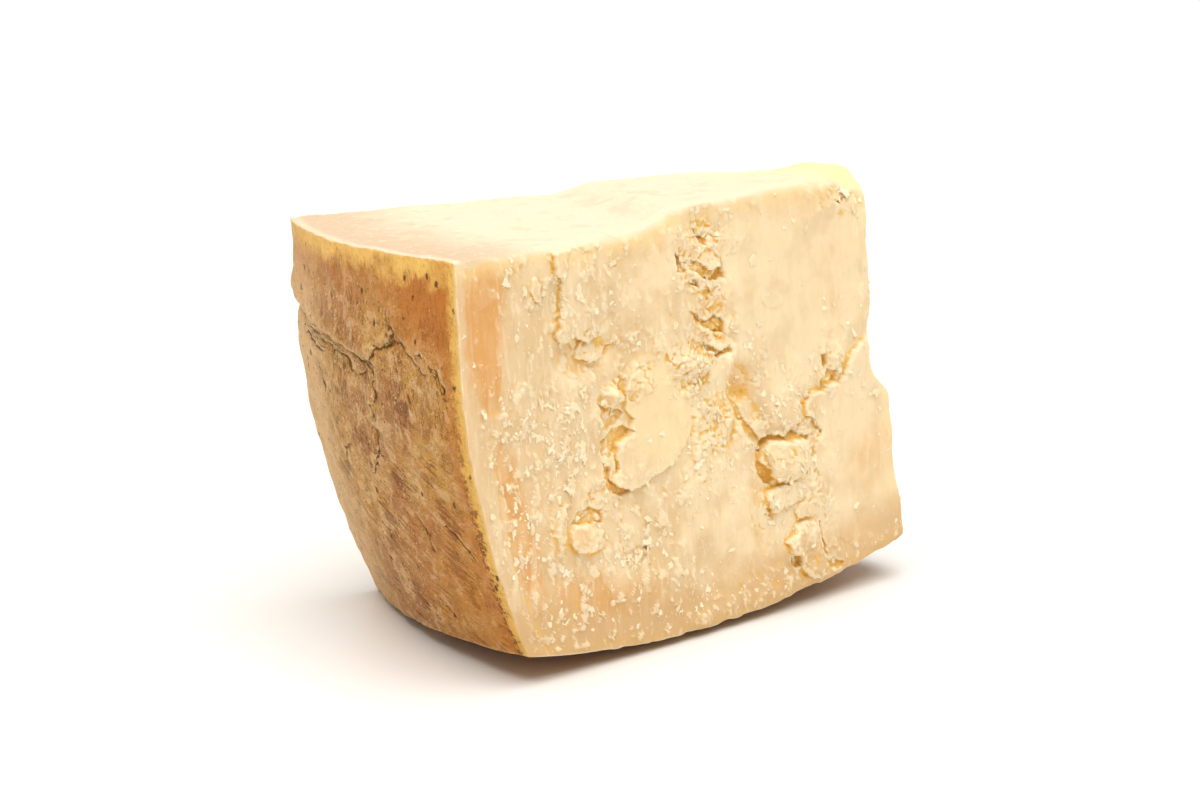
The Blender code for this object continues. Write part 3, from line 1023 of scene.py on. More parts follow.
def wear(block, verts, rings, passes):
    """Smooth some vertices and a few rings of their neighbours."""
    worn = set(verts)
    for _ in range(rings):
        worn |= {edge.other_vert(vertex) for vertex in worn for edge in vertex.link_edges}
    worn = sorted(worn, key=lambda vertex: vertex.index)
    for _ in range(passes):
        bmesh.ops.smooth_vert(
            block, verts=worn, factor=0.5, use_axis_x=True, use_axis_y=True, use_axis_z=True
        )


def shape_block(block):
    """Move every grid point to its place, and note what its finish depends on in layers."""
    layers = {name: block.verts.layers.float.new(name) for name in ATTRIBUTES}
    grid = np.clip(np.array([vertex.co for vertex in block.verts]) + 0.5, 0.0, 1.0)
    grid = np.where(grid < ON_END, 0.0, np.where(grid > 1 - ON_END, 1.0, grid))
    on_edge = ((grid == 0.0) | (grid == 1.0)).sum(axis=1) > 1
    by_rind = (grid[:, 0] == 0.0) | (grid[:, 2] == 0.0)
    front_top = (grid[:, 1] == 0.0) & (grid[:, 2] == 1.0)
    rows = grid[:, 1]
    grid[:, 1] = rows + EDGE_ROWS * (smooth_step(rows) - rows)
    places, noted = chunk_points(*grid.T)
    columns = [(layers[name], noted[name].tolist()) for name in ATTRIBUTES]
    for index, (vertex, place) in enumerate(zip(block.verts, places.tolist())):
        vertex.co = place
        for layer, values in columns:
            vertex[layer] = values[index]
    verts = list(block.verts)
    wear(block, [verts[index] for index in np.flatnonzero(on_edge & ~by_rind)], 2, WORN_PASSES)
    wear(block, [verts[index] for index in np.flatnonzero(front_top)], 4, TOP_PASSES)
    wear(block, [verts[index] for index in np.flatnonzero(on_edge & by_rind)], 0, 1)


def set_in_place(block):
    """Move the shape to the solid's place, and press what sticks out back inside its box."""
    places = np.array([vertex.co for vertex in block.verts]) + NEAR_CORNER
    low = np.array(CAD_LOW) + (BOX_GAP, BOX_GAP, 0.0)
    places = np.clip(places, low, np.array(CAD_HIGH) - BOX_GAP)
    for vertex, place in zip(block.verts, places.tolist()):
        vertex.co = place


# How far round a point its surroundings reach, in smoothing passes. The paste and the rind paint
# shade where a point is sunk below them, and are paler where it stands proud.
HOLLOW_PASSES = {"dent": 5, "basin": 45}


def read(items, name, width=1, kind=float):
    """One property of all of a mesh's items: a number each, or a row of them."""
    values = np.zeros(len(items) * width, kind)
    items.foreach_get(name, values)
    return values if width == 1 else values.reshape(-1, width)


def smoothed(places, edges, passes):
    """Points drawn towards the middle of their neighbours, again and again."""
    count = len(places)
    starts, ends = edges.T
    share = 0.5 / np.bincount(edges.ravel(), minlength=count)[:, None]
    for _ in range(passes):
        total = [
            np.bincount(starts, column[ends], count) + np.bincount(ends, column[starts], count)
            for column in places.T
        ]
        places = 0.5 * places + share * np.stack(total, axis=1)
    return places


def note_hollows(mesh):
    """Note how far each point lies below its surroundings, in millimetres, near and wide."""
    places = read(mesh.vertices, "co", 3)
    normals = read(mesh.vertices, "normal", 3)
    edges = read(mesh.edges, "vertices", 2, np.int32)
    for name, passes in HOLLOW_PASSES.items():
        sunk = ((smoothed(places, edges, passes) - places) * normals).sum(axis=1) / MM
        mesh.attributes.new(name, "FLOAT", "POINT").data.foreach_set("value", sunk)


def finish_piece(name, shape, materials, smooth=False):
    """Make a piece of a shape, give it its materials, and tie it to the chunk's body."""
    mesh = bpy.data.meshes.new(name)
    shape.to_mesh(mesh)
    shape.free()
    if smooth:
        mesh.shade_smooth()
    for material in materials:
        mesh.materials.append(material)
    piece = bpy.data.objects.new(name, mesh)
    bpy.context.scene.collection.objects.link(piece)
    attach(piece, BODY)
    return piece


def build_body():
    """The chunk itself, with paste on its broken sides and rind on the barrel side and the face."""
    block = subdivided_block()
    for face in block.faces:
        rind = all(map(on_face, face.verts)) or all(map(on_rind, face.verts))
        face.material_index = int(rind)
    shape_block(block)
    set_in_place(block)
    bmesh.ops.recalc_face_normals(block, faces=block.faces)
    body = finish_piece("cheese_body", block, (paste_material(), rind_material()), smooth=True)
    note_hollows(body.data)
    return body


# Shader maths -----------------------------------------------------------------------------------


class Value:
    """A number socket of a shader. Arithmetic on it adds the Math nodes."""

    def __init__(self, graph, socket):
        self.graph = graph
        self.socket = socket

    def _maths(self, operation, *values):
        settings = {"operation": operation}
        return self.graph.node("ShaderNodeMath", settings, dict(enumerate(values)))

    def __add__(self, other):
        return self._maths("ADD", self, other)

    def __radd__(self, other):
        return self._maths("ADD", other, self)

    def __sub__(self, other):
        return self._maths("SUBTRACT", self, other)

    def __rsub__(self, other):
        return self._maths("SUBTRACT", other, self)

    def __mul__(self, other):
        return self._maths("MULTIPLY", self, other)

    def __rmul__(self, other):
        return self._maths("MULTIPLY", other, self)

    def ramp(self, low, high):
        """0 at low, 1 at high, and smooth between; low may be the larger."""
        if low > high:
            return 1.0 - self.ramp(high, low)
        settings = {"interpolation_type": "SMOOTHSTEP"}
        inputs = {"Value": self, "From Min": low, "From Max": high}
        return self.graph.node("ShaderNodeMapRange", settings, inputs)

    def spread(self, width):
        """A noise around 0.5, drawn out to a width and moved to lie around 0."""
        return (self - 0.5) * width

    def near_zero(self, gone, full):
        """1 where the value's square is under full, and 0 where it is over gone."""
        return (self * self).ramp(gone, full)


class Graph:
    """The node tree of one material."""

    def __init__(self, name):
        self.material = bpy.data.materials.new(name)
        self.material.use_nodes = True
        self.tree = self.material.node_tree
        self.shader = self.tree.nodes["Principled BSDF"]
        self.position = self.node("ShaderNodeTexCoord", {}, {}, output="Object")

    def node(self, kind, settings, inputs, output=0):
        """Add a node, make its settings, fill or link its sockets, and wrap one output."""
        node = self.tree.nodes.new(kind)
        for name, value in settings.items():
            setattr(node, name, value)
        for key, value in inputs.items():
            self.fill(node.inputs[key], value)
        return Value(self, node.outputs[output])

    def fill(self, socket, value):
        """Link a wrapped output to a socket, or set the socket's own value."""
        if isinstance(value, Value):
            self.tree.links.new(value.socket, socket)
        elif socket.type == "RGBA" and len(value) == 3:
            socket.default_value = (*value, 1.0)
        else:
            socket.default_value = value

    def attribute(self, name):
        return self.node("ShaderNodeAttribute", {"attribute_name": name}, {}, output="Fac")

    def joined(self, x, y, z=0.0):
        """Three numbers as one vector."""
        return self.node("ShaderNodeCombineXYZ", {}, {0: x, 1: y, 2: z})

    def drawn_out(self, place, scale, turn=0.0):
        """Coordinates for a pattern drawn out by scale along axes turned about the third one."""
        inputs = {"Vector": place, "Rotation": (0.0, 0.0, turn), "Scale": scale}
        return self.node("ShaderNodeMapping", {"vector_type": "TEXTURE"}, inputs)

    def noise(self, size, detail=3.0, rough=0.5, place=None, warp=0.0):
        """Fractal noise around 0.5, with bumps of a size in metres."""
        inputs = {
            "Vector": place or self.position,
            "Scale": 1.0 / size,
            "Detail": detail,
            "Roughness": rough,
            "Distortion": warp,
        }
        return self.node("ShaderNodeTexNoise", {}, inputs)

    def cells(self, size, place=None):
        """Voronoi cells of a size in metres: how far off a cell's point is, and its own number."""
        inputs = {"Vector": place or self.position, "Scale": 1.0 / size}
        distance = self.node("ShaderNodeTexVoronoi", {}, inputs, output="Distance")
        colour = Value(self, distance.socket.node.outputs["Color"])
        return distance, self.node("ShaderNodeSeparateColor", {}, {0: colour})

    def mix(self, factor, low, high):
        """Blend two colours."""
        settings = {"data_type": "RGBA", "clamp_factor": True}
        return self.node("ShaderNodeMix", settings, {0: factor, 6: low, 7: high}, output=2)

    def bump(self, height, distance, strength):
        inputs = {"Height": height, "Distance": distance, "Strength": strength}
        return self.node("ShaderNodeBump", {}, inputs)

    def surface(self, **values):
        """Fill the shader's own sockets, named with underscores for spaces."""
        for name, value in values.items():
            self.fill(self.shader.inputs[name.replace("_", " ")], value)


class Paint:
    """A colour that is built up in layers.

    In the layers a noise is around 0.5, so a ramp on it picks out its high or its low places, and
    a distance from an edge is in millimetres, made ragged by adding spread noises to it.
    """

    def __init__(self, graph, look):
        self.graph = graph
        self.look = look
        self.colour = None

    def lay(self, tint, cover, share=None):
        """Tint the colour where cover is 1, in full or only by a share."""
        if share is not None:
            cover = cover * share
        self.colour = self.graph.mix(cover, self.colour, tint)


# Paste ------------------------------------------------------------------------------------------

# The strength of the sheen, and how far red, green and blue light seep beside each other.
PASTE_SHEEN = 0.3
PASTE_GLOW = (1.0, 0.9, 0.75)


class PastePaint(Paint):
    """The colour of the broken sides and the split top."""

    def __init__(self, graph, look):
        super().__init__(graph, look)
        self.upper = graph.attribute("upper")
        self.from_side = graph.attribute("from_side")
        self.from_face = graph.attribute("from_face")
        self.from_top = graph.attribute("from_top")
        self.torn = 1.0 - graph.attribute("calm") * 0.7
        self.upright = graph.drawn_out(graph.position, (1.0, 1.0, 2.4))
        self.medium = graph.noise(9 * MM, 4.0, warp=0.3)
        self.small = graph.noise(2.6 * MM, 4.0, 0.6, warp=0.4)
        self.grain = graph.noise(0.9 * MM, 4.0, 0.65)
        self.streak = graph.noise(2.4 * MM, 4.0, 0.6, place=self.upright, warp=0.3)

    def lay_ground(self):
        """Darker and paler clouds, then buttery and orange paste where it was noted."""
        look = self.look
        broad = self.graph.noise(34 * MM, 2.0)
        clouds = (broad * 0.5 + self.medium * 0.5).ramp(0.38, 0.62)
        clouds = clouds - self.from_side.ramp(60.0, 8.0) * 0.5
        clouds = clouds + self.from_side.ramp(50.0, 100.0) * 0.35
        low_left = self.from_face.ramp(72.0, 24.0) * self.from_side.ramp(125.0, 100.0)
        clouds = clouds - low_left * 0.25
        self.colour = self.graph.mix(clouds, look.deep, look.paste)
        butter = self.graph.attribute("butter") + self.medium.spread(0.6)
        self.lay(look.butter, butter.ramp(0.0, 1.0), 0.8)
        warm = self.graph.attribute("warm") + self.medium.spread(1.0) + self.streak.spread(0.9)
        self.lay(look.orange, warm.ramp(0.05, 1.2), 0.8)

    def lay_streaks(self):
        """Soft upright patches and long upright streaks, pale and dark, where the paste is torn."""
        matte = self.graph.noise(7 * MM, 3.0, 0.55, place=self.upright, warp=0.3)
        self.lay(self.look.pale, matte.ramp(0.52, 0.58) * self.torn, 0.22)
        self.lay(self.look.deep, matte.ramp(0.46, 0.36) * self.torn, 0.3)
        long_place = self.graph.drawn_out(self.graph.position, (1.0, 1.0, 7.0))
        long_streak = self.graph.noise(2.6 * MM, 3.0, 0.5, place=long_place)
        self.lay(self.look.pale, long_streak.ramp(0.54, 0.66) * self.torn, 0.35)
        self.lay(self.look.deep, long_streak.ramp(0.46, 0.34) * self.torn, 0.25)

    def lay_by_rind(self):
        """Pinkish beige along the rind, with a thin broken pale line at its very edge."""
        side = self.from_side + self.medium.spread(7.0) + self.streak.spread(6.0)
        self.lay(self.look.skin, side.ramp(3.0, 0.8), 0.5)
        line = (self.from_side + self.small.spread(2.6)).ramp(1.2, 0.4)
        self.lay(self.look.pale, line * self.streak.ramp(0.46, 0.58), 0.5)

    def lay_edges(self):
        """A painted golden glow under the top edge, and the split top's painted paleness on the worn
        edge; tan by the wheel's face, with a lighter band at its rim.
        """
        look = self.look
        # Painted glow: light seeping through the paste just under the top edge.
        under = self.from_top + self.medium.spread(6.0) + self.small.spread(2.0)
        self.lay(look.gold, under.ramp(9.0, 2.0) * (1.0 - self.upper), 0.75)
        # The worn top edge takes the split top's colour, which is painted paler for the strong light
        # on it.
        edge = self.from_top + self.medium.spread(3.0)
        self.lay(look.top, edge.ramp(4.0, 0.5), 0.75)
        face = self.from_face + self.medium.spread(8.0) + self.small.spread(3.0)
        self.lay(look.near_face, face.ramp(20.0, 8.0), 0.7)
        band = self.from_face + self.small.spread(1.6)
        self.lay(look.face_band, band.ramp(4.2, 3.0), 0.7)

    def lay_top(self):
        """The split top is painted pale, a colour that stands in for the strong light falling on it;
        it is pinker by the rind and golden at the tip.
        """
        look, upper = self.look, self.upper
        self.lay(look.top, upper, 0.95)
        self.lay(look.rose, upper * (self.from_side + self.medium.spread(22.0)).ramp(40.0, 8.0))
        self.lay(look.rose, upper * self.medium.ramp(0.46, 0.36), 0.3)
        self.lay(look.fleck, upper * self.streak.ramp(0.54, 0.64), 0.2)
        self.lay(look.gold, upper * self.from_side.ramp(110.0, 165.0), 0.4)
        self.lay(look.gold, upper * self.from_side.ramp(138.0, 162.0), 0.7)
        self.lay(look.fleck, upper * (self.from_side + self.small.spread(4.0)).ramp(4.0, 1.0), 0.35)

    def lay_relief(self, flecks):
        """Flecks are dry and pale; proud places are paler, partly as dry paste and partly as painted
        highlight, and the hollows get golden painted shade.
        """
        graph, look, upper = self.graph, self.look, self.upper
        dent = graph.attribute("dent")
        basin = graph.attribute("basin")
        self.lay(look.fleck, flecks, 0.5)
        # Partly painted highlight: proud places and lips are made paler, as well as dry paste.
        proud = graph.attribute("pale") * 0.6 - dent * 3.0 + self.small.spread(0.6)
        proud = proud.ramp(0.2, 1.1) * self.from_side.ramp(0.5, 4.0)
        self.lay(look.pale, proud * (1.0 - upper), 0.7)
        # Painted shade: golden where the paste is noted or measured as sunk, deeper gold where it is
        # sunk more.
        sunk = graph.attribute("hollow") * 0.9 + dent * 2.6 + basin * 0.7
        sunk = sunk * (1.0 - upper * 0.7) + self.small.spread(0.4)
        self.lay(look.hollow, sunk.ramp(0.2, 1.1), 0.85)
        self.lay(look.deep_hollow_shade, sunk.ramp(1.0, 2.4), 0.85)


def paste_material():
    """Broken paste: waxy, paler on its flakes, with golden painted shade in its hollows, orange
    towards the rind.
    """
    look = bpy.context.scene.paste_look
    graph = Graph("parmesan_paste")
    paint = PastePaint(graph, look)
    paint.lay_ground()
    paint.lay_streaks()
    paint.lay_by_rind()
    paint.lay_edges()
    paint.lay_top()
    flecks = paint.streak.ramp(0.6, 0.66) * 0.6 + paint.small.ramp(0.63, 0.68) * 0.5
    flecks = flecks * (paint.torn * (1.0 - paint.upper * 0.7))
    paint.lay_relief(flecks)
    height = paint.grain * 0.35 + flecks * 0.5 + paint.small * 0.5 * paint.torn
    graph.surface(
        Base_Color=paint.colour,
        Roughness=0.46 + paint.grain * 0.2,
        Normal=graph.bump(height, 0.6 * MM, 0.4),
        Specular_IOR_Level=PASTE_SHEEN,
        Subsurface_Weight=look.glow,
        Subsurface_Radius=PASTE_GLOW,
        Subsurface_Scale=look.glow_depth,
    )
    return graph.material


def loose_material(name, tint):
    """The paste of a loose piece: paler and grainier than the body."""
    look = bpy.context.scene.paste_look
    graph = Graph(name)
    grain = graph.noise(0.9 * MM, 4.0, 0.6)
    medium = graph.noise(6 * MM, 2.0)
    colour = graph.mix(medium.ramp(0.4, 0.6), look.paste, look.pale)
    colour = graph.mix((grain * 0.5 + medium * 0.5).ramp(0.45, 0.6) * tint, colour, look.fleck)
    graph.surface(
        Base_Color=colour,
        Roughness=0.5 + grain * 0.15,
        Normal=graph.bump(grain, 0.5 * MM, 0.5),
        Specular_IOR_Level=PASTE_SHEEN,
    )
    return graph.material


# Rind -------------------------------------------------------------------------------------------

RIND_SHEEN = 0.14
RIND_GLOW = (1.0, 0.5, 0.2)
SCRATCH_TURN = math.radians(-27)                  # scratches run down towards the front edge


class RindPaint(Paint):
    """The rind's colour. Across is the distance from the front edge, down from the top edge."""

    def __init__(self, graph, look):
        super().__init__(graph, look)
        self.across = graph.attribute("across")
        self.down = graph.attribute("down")
        self.flat = graph.joined(self.across * MM, self.down * MM)
        self.medium = graph.noise(10 * MM, 4.0, 0.6, warp=0.5)
        self.soft = graph.noise(5.5 * MM, 3.0, 0.5, warp=0.6)
        self.small = graph.noise(3.0 * MM, 4.0, 0.65, warp=0.4)
        self.fine = graph.noise(1.0 * MM, 4.0, 0.7)
        self.speckle = graph.noise(0.5 * MM, 2.0, 0.6)
        self.upright = graph.drawn_out(self.flat, (1.0, 3.5, 1.0))
        self.stroke = graph.noise(1.0 * MM, 3.0, 0.6, place=self.upright, warp=0.5)
        self.dust = self.fine * 0.6 + self.speckle * 0.4
        self.low = (self.down + self.medium.spread(40.0)).ramp(42.0, 66.0)
        self.top = self.down + self.medium.spread(16.0) + self.stroke.spread(8.0)
        self.corner = (self.across + self.medium.spread(20.0)).ramp(38.0, 18.0)
        self.strip = self.across + self.small.spread(7.0) + self.fine.spread(3.5)

    def lay_ground(self):
        """Broad hues first, then soft light and dark clouds, then the dusty grain."""
        look = self.look
        broad = self.graph.noise(26 * MM, 2.0, warp=0.3)
        golden = (self.medium * 0.7 + self.small * 0.3).ramp(0.44, 0.56)
        self.colour = self.graph.mix(golden, look.tan, look.gold)
        self.lay(look.plum, (broad * 0.6 + self.medium * 0.4).ramp(0.47, 0.58), 0.75)
        self.lay(look.bloom, self.soft.ramp(0.51, 0.63), 0.65)
        self.lay(look.shade, self.soft.ramp(0.46, 0.36), 0.6)
        self.lay(look.bloom, self.dust.ramp(0.54, 0.59), 0.3)
        self.lay(look.shade, self.dust.ramp(0.45, 0.4), 0.35)

    def lay_strokes(self):
        """Short upright strokes above, long slanting scratches below, both in patches."""
        graph, low = self.graph, self.low
        patchy = graph.noise(12 * MM, 2.0, place=self.flat)
        slanted = graph.drawn_out(self.flat, (10.0, 1.0, 1.0), SCRATCH_TURN)
        scratch = graph.noise(0.9 * MM, 3.0, 0.6, place=slanted, warp=0.4)
        strokes = self.stroke + patchy.spread(0.8) + self.speckle.spread(0.2)
        scratches = scratch + patchy.spread(1.0) + self.speckle.spread(0.2)
        dark = strokes.ramp(0.37, 0.345) * (1.0 - low) + scratches.ramp(0.375, 0.35) * low
        light = strokes.ramp(0.62, 0.65) * (1.0 - low) + scratches.ramp(0.61, 0.65) * low
        self.lay(self.look.bloom, light, 0.35)
        self.lay(self.look.dark, dark, 0.7)
        return dark, light

    def lay_wrinkles(self):
        """Fine wrinkles, light and dark, that run with the strokes above and the scratches below."""
        slanted = self.graph.drawn_out(self.flat, (3.5, 1.0, 1.0), SCRATCH_TURN)
        for place, share in ((self.upright, 1.0 - self.low), (slanted, self.low * 0.6)):
            for size, tint in ((2.2 * MM, self.look.bloom), (3.0 * MM, self.look.dark)):
                middle = self.graph.noise(size, 3.0, 0.55, place=place, warp=1.2) - 0.5
                line = middle.near_zero(0.0009, 0.0001) * self.fine.ramp(0.42, 0.5) * share
                self.lay(tint, line, 0.4)

    def lay_edges(self):
        """A painted yellow-orange glow towards the top edge, orange above the foot, a golden strip
        on the front edge.
        """
        look, top, strip = self.look, self.top, self.strip
        # The rind is lighter far from the front edge.
        far = (self.across + self.medium.spread(40.0)).ramp(64.0, 104.0)
        self.lay(look.bloom, far, 0.85)
        foot = (self.down + self.medium.spread(60.0)).ramp(56.0, 100.0)
        self.lay(look.orange, foot * (self.across + self.soft.spread(50.0)).ramp(62.0, 24.0), 0.4)
        self.lay(look.orange, top.ramp(26.0, 2.0), 0.5)
        streaks = 0.2 + self.stroke * 0.7 + self.soft * 0.5
        self.lay(look.orange, top.ramp(34.0, 14.0) * self.corner * streaks)
        # Painted glow: light seeping through the rind at its top edge, more towards the front edge.
        self.lay(look.amber_glow, top.ramp(9.0, 4.0) * self.corner, 0.7)
        self.lay(look.amber_glow, top.ramp(8.0, 1.5) * (0.9 - far * 0.3))
        self.lay(look.orange, strip.ramp(13.0, 4.0), 0.55)
        self.lay(look.strip, strip.ramp(5.5, 1.5), 0.8)
        self.lay(look.strip_edge, (self.across + (self.fine - 0.5)).ramp(1.4, 0.3), 0.5)
        fray = self.across + self.small.spread(9.0) + self.fine.spread(3.0) - 4.6
        fray = fray.near_zero(2.5, 0.4) * (self.small + self.fine.spread(0.8)).ramp(0.47, 0.53)
        self.lay(look.dark, fray * self.down.ramp(20.0, 90.0), 0.75)

    def lay_pits(self):
        """Dark pits, most of them by the front edge, then whitish and dark specks."""
        graph, look = self.graph, self.look
        distance, pick = graph.cells(4.0 * MM, graph.drawn_out(self.flat, (1.0, 1.5, 1.0)))
        pits = (distance + self.fine.spread(0.4)).ramp(0.19, 0.08)
        pits = pits * (pick + self.strip.ramp(8.0, 3.0) * 0.35).ramp(0.62, 0.68)
        self.lay(look.pit, pits, 0.85)
        distance, pick = graph.cells(1.5 * MM)
        bits = (distance + self.speckle.spread(0.5)) * (1.0 + self.corner)
        bits = bits * (1.0 + self.top.ramp(12.0, 6.0))
        self.lay(look.crust, bits.ramp(0.3, 0.2) * pick.ramp(0.74, 0.78), 0.6)
        self.lay(look.dark, bits.ramp(0.28, 0.18) * pick.ramp(0.26, 0.22), 0.75)
        return pits

    def lay_creases(self):
        """Olive floors, painted shade in dents and paler ridges, then a painted highlight on the lip
        above a crease and a dark line along it.
        """
        graph, look = self.graph, self.look
        floor = graph.attribute("mark") + self.small.spread(1.4) + self.fine.spread(0.8)
        self.lay(look.olive, floor.ramp(0.35, 1.1), 0.5)
        # Painted shade where the rind is sunk below its surroundings, and paler where it stands
        # proud.
        sunk = graph.attribute("dent") * 4.0 + graph.attribute("basin") * 0.3
        sunk = sunk + self.fine.spread(0.5)
        self.lay(look.dark, sunk.ramp(0.4, 1.6), 0.45)
        self.lay(look.bloom, sunk.ramp(-0.3, -1.2), 0.45)
        crack = graph.attribute("crack") + self.small.spread(1.4) + self.fine.spread(1.2)
        # Painted highlight on the bulging lip just above a crease.
        self.lay(look.crust, (crack + 0.9).near_zero(0.3, 0.05) * self.small.ramp(0.46, 0.54), 0.4)
        broken = (self.medium * 0.5 + self.small * 0.5 + self.fine.spread(0.5)).ramp(0.45, 0.52)
        creases = crack.near_zero(0.16, 0.03) * broken
        self.lay(look.dark, creases, 0.8)
        return creases


def rind_material():
    """Weathered rind: mottled tan, gold and plum brown, scratched, pitted, with a painted
    yellow-orange glow at its top edge.
    """
    look = bpy.context.scene.rind_look
    graph = Graph("parmesan_rind")
    paint = RindPaint(graph, look)
    paint.lay_ground()
    dark, light = paint.lay_strokes()
    paint.lay_wrinkles()
    paint.lay_edges()
    pits = paint.lay_pits()
    creases = paint.lay_creases()
    height = paint.soft * 0.8 + paint.small * 0.6 + paint.dust * 0.5 - pits * 0.8 - creases * 0.5
    height = height - dark * 0.4 + light * 0.2
    graph.surface(
        Base_Color=paint.colour,
        Roughness=0.42 + paint.fine * 0.25,
        Normal=graph.bump(height, 1.5 * MM, 0.9),
        Specular_IOR_Level=RIND_SHEEN,
        Subsurface_Weight=look.glow,
        Subsurface_Radius=RIND_GLOW,
        Subsurface_Scale=look.glow_depth,
    )
    return graph.material


# Chips and crumbs -------------------------------------------------------------------------------

CHIP_CORNERS = 11
CHIP_TOP = 0.82       # how large a chip's top is beside its foot
CHIP_FLECKS = 0.45    # how far the grain of the chips turns whitish, and that of the crumbs
CRUMB_FLECKS = 0.4


def copies(make_one, count):
    """Many copies of one small shape in one bmesh, and each copy's vertices."""
    heap = bmesh.new()
    make_one(heap)
    size = len(heap.verts)
    # The heap is doubled again and again, the last time only in part.
    while len(heap.verts) < size * count:
        spare = len(heap.verts) - size * (count - len(heap.verts) // size)
        whole = list(heap.verts) + list(heap.edges) + list(heap.faces)
        if spare > 0:
            kept = set(list(heap.verts)[: len(heap.verts) - spare])
            whole = [item for item in whole if kept.issuperset(getattr(item, "verts", [item]))]
        bmesh.ops.duplicate(heap, geom=whole)
    verts = list(heap.verts)
    return heap, [verts[start : start + size] for start in range(0, size * count, size)]


def one_chip(heap):
    """A flat many-cornered plate, one millimetre each way."""
    made = bmesh.ops.create_circle(heap, cap_ends=True, segments=CHIP_CORNERS, radius=0.5 * MM)
    raised = bmesh.ops.extrude_face_region(heap, geom=[made["verts"][0].link_faces[0]])
    top = [item for item in raised["geom"] if isinstance(item, bmesh.types.BMVert)]
    bmesh.ops.translate(heap, verts=top, vec=(0.0, 0.0, MM))


def one_crumb(heap):
    """A faceted ball, one millimetre across."""
    bmesh.ops.create_icosphere(heap, subdivisions=1, radius=0.5 * MM)


def random_shift(draw):
    """A place in the noise, so that each copy gets its own."""
    return Vector((draw.uniform(-50, 50), draw.uniform(-50, 50), draw.uniform(-50, 50)))


def roughen_chip(verts, draw):
    """Give a chip a ragged outline, a top smaller than its foot, and a thick lower end."""
    shift = random_shift(draw)
    for vertex in verts:
        place = vertex.co.xy.to_3d() / MM
        reach = 1.0 + 1.3 * noise.noise(place * 2.4 + shift) + 0.9 * noise.noise(place * 6 - shift)
        raised = vertex.co.z > 0.0
        reach *= CHIP_TOP if raised else 1.0
        vertex.co.x *= reach
        vertex.co.y *= reach
        if raised:
            vertex.co.z *= 0.55 - 0.9 * place.y
        else:
            vertex.co.z = -0.5 * MM


def roughen_crumb(verts, draw):
    """Dent a crumb all over."""
    shift = random_shift(draw)
    for vertex in verts:
        lump = noise.noise(vertex.co / MM * 2.6 + shift)
        cut = noise.noise(vertex.co / MM * 6.0 - shift)
        vertex.co *= 1.0 + 0.9 * lump + 0.5 * cut


def set_down(verts, place, normal, sizes, spin, lean):
    """Scale, turn and place a chip or a crumb: its third axis on the normal, its second upright."""
    side = Vector((0.0, 0.0, 1.0)).cross(normal)
    side = side.normalized() if side.length > 1e-4 else Vector((1.0, 0.0, 0.0))
    axes = Matrix((side, normal.cross(side), normal)).transposed().to_4x4()
    tilt = Matrix.Rotation(lean, 4, "X")
    turn = Matrix.Rotation(spin, 4, "Z")
    matrix = Matrix.Translation(place) @ axes @ turn @ tilt @ Matrix.Diagonal((*sizes, 1.0))
    for vertex in verts:
        vertex.co = matrix @ vertex.co


def lay_chip(verts, place, normal, draw):
    """A thin chip, most of them small, that stands upright on its side of the chunk."""
    width = 0.32 + 2.1 * draw.random() ** 3.4
    sizes = (width, width * draw.uniform(0.8, 2.0), 0.1 + 0.07 * width)
    roughen_chip(verts, draw)
    set_down(verts, place, normal, sizes, draw.gauss(0.0, 0.5), draw.uniform(-0.15, 0.15))


def lay_crumb(verts, place, normal, draw):
    """A rocky crumb, flatter than it is wide, that lies any way round."""
    size = 0.6 + 1.4 * draw.random() ** 3.0
    sizes = (size, size * draw.uniform(0.7, 1.4), size * draw.uniform(0.35, 0.6))
    roughen_crumb(verts, draw)
    spin = draw.uniform(-math.pi, math.pi)
    set_down(verts, place, normal, sizes, spin, draw.uniform(-0.35, 0.35))


def chip_weight(centres, normals, noted):
    """Chips lie anywhere on the broken sides, in drifts, and never on the top."""
    drift = waves(centres.T / MM, ((1.0, 16.0, 61.0), (0.6, 5.0, 62.0)))
    broken = (normals[:, 2] < 0.6) & (noted["upper"] < 0.1) & (noted["from_top"] > 1.5)
    broken &= (noted["from_face"] > 3.0) & (noted["from_side"] > 1.5)
    torn = 1.0 - 0.85 * np.minimum(noted["calm"], 1.0)
    gathered = patches_height(DRIFT_PATCHES, noted["from_side"], noted["down"])
    gathered = 3.5 * gathered * (normals[:, 1] < -0.5)
    return broken * torn * (0.25 + smooth_step(drift + 0.3) * (1.2 + gathered))


def crumb_weight(centres, normals, noted):
    """Crumbs gather where the paste has crumbled, round hollows and pale edges."""
    sheltered = (noted["from_face"] > 5.0) & (noted["from_top"] > 4.0) & (normals[:, 2] < 0.5)
    return sheltered * (0.02 + smooth_step(noted["pale"] * 1.4 - 0.4) * 3.0)


def surface_samples(mesh, draw, count, weigh):
    """Random places on the body's paste, more of them on faces that weigh() makes heavier."""
    faces = mesh.polygons
    centres = read(faces, "center", 3)
    normals = read(faces, "normal", 3)
    firsts = np.array([face.vertices[0] for face in faces])
    noted = {
        name: read(mesh.attributes[name].data, "value", kind=np.float32)[firsts]
        for name in ATTRIBUTES
    }
    paste = read(faces, "material_index", kind=int) == 0
    chances = read(faces, "area") * paste * (normals[:, 2] > -0.6)
    totals = np.cumsum(chances * weigh(centres, normals, noted))
    for _ in range(count):
        index = int(np.searchsorted(totals, draw.uniform(0.0, totals[-1])))
        corner = mesh.vertices[firsts[index]].co
        place = Vector(centres[index]).lerp(corner, draw.uniform(0.0, 1.0))
        yield place, Vector(normals[index])


def keep_inside(heap):
    """Pull what sticks out past the solid's box back to it."""
    for vertex in heap.verts:
        for axis in range(3):
            vertex.co[axis] = min(max(vertex.co[axis], CAD_LOW[axis]), CAD_HIGH[axis])


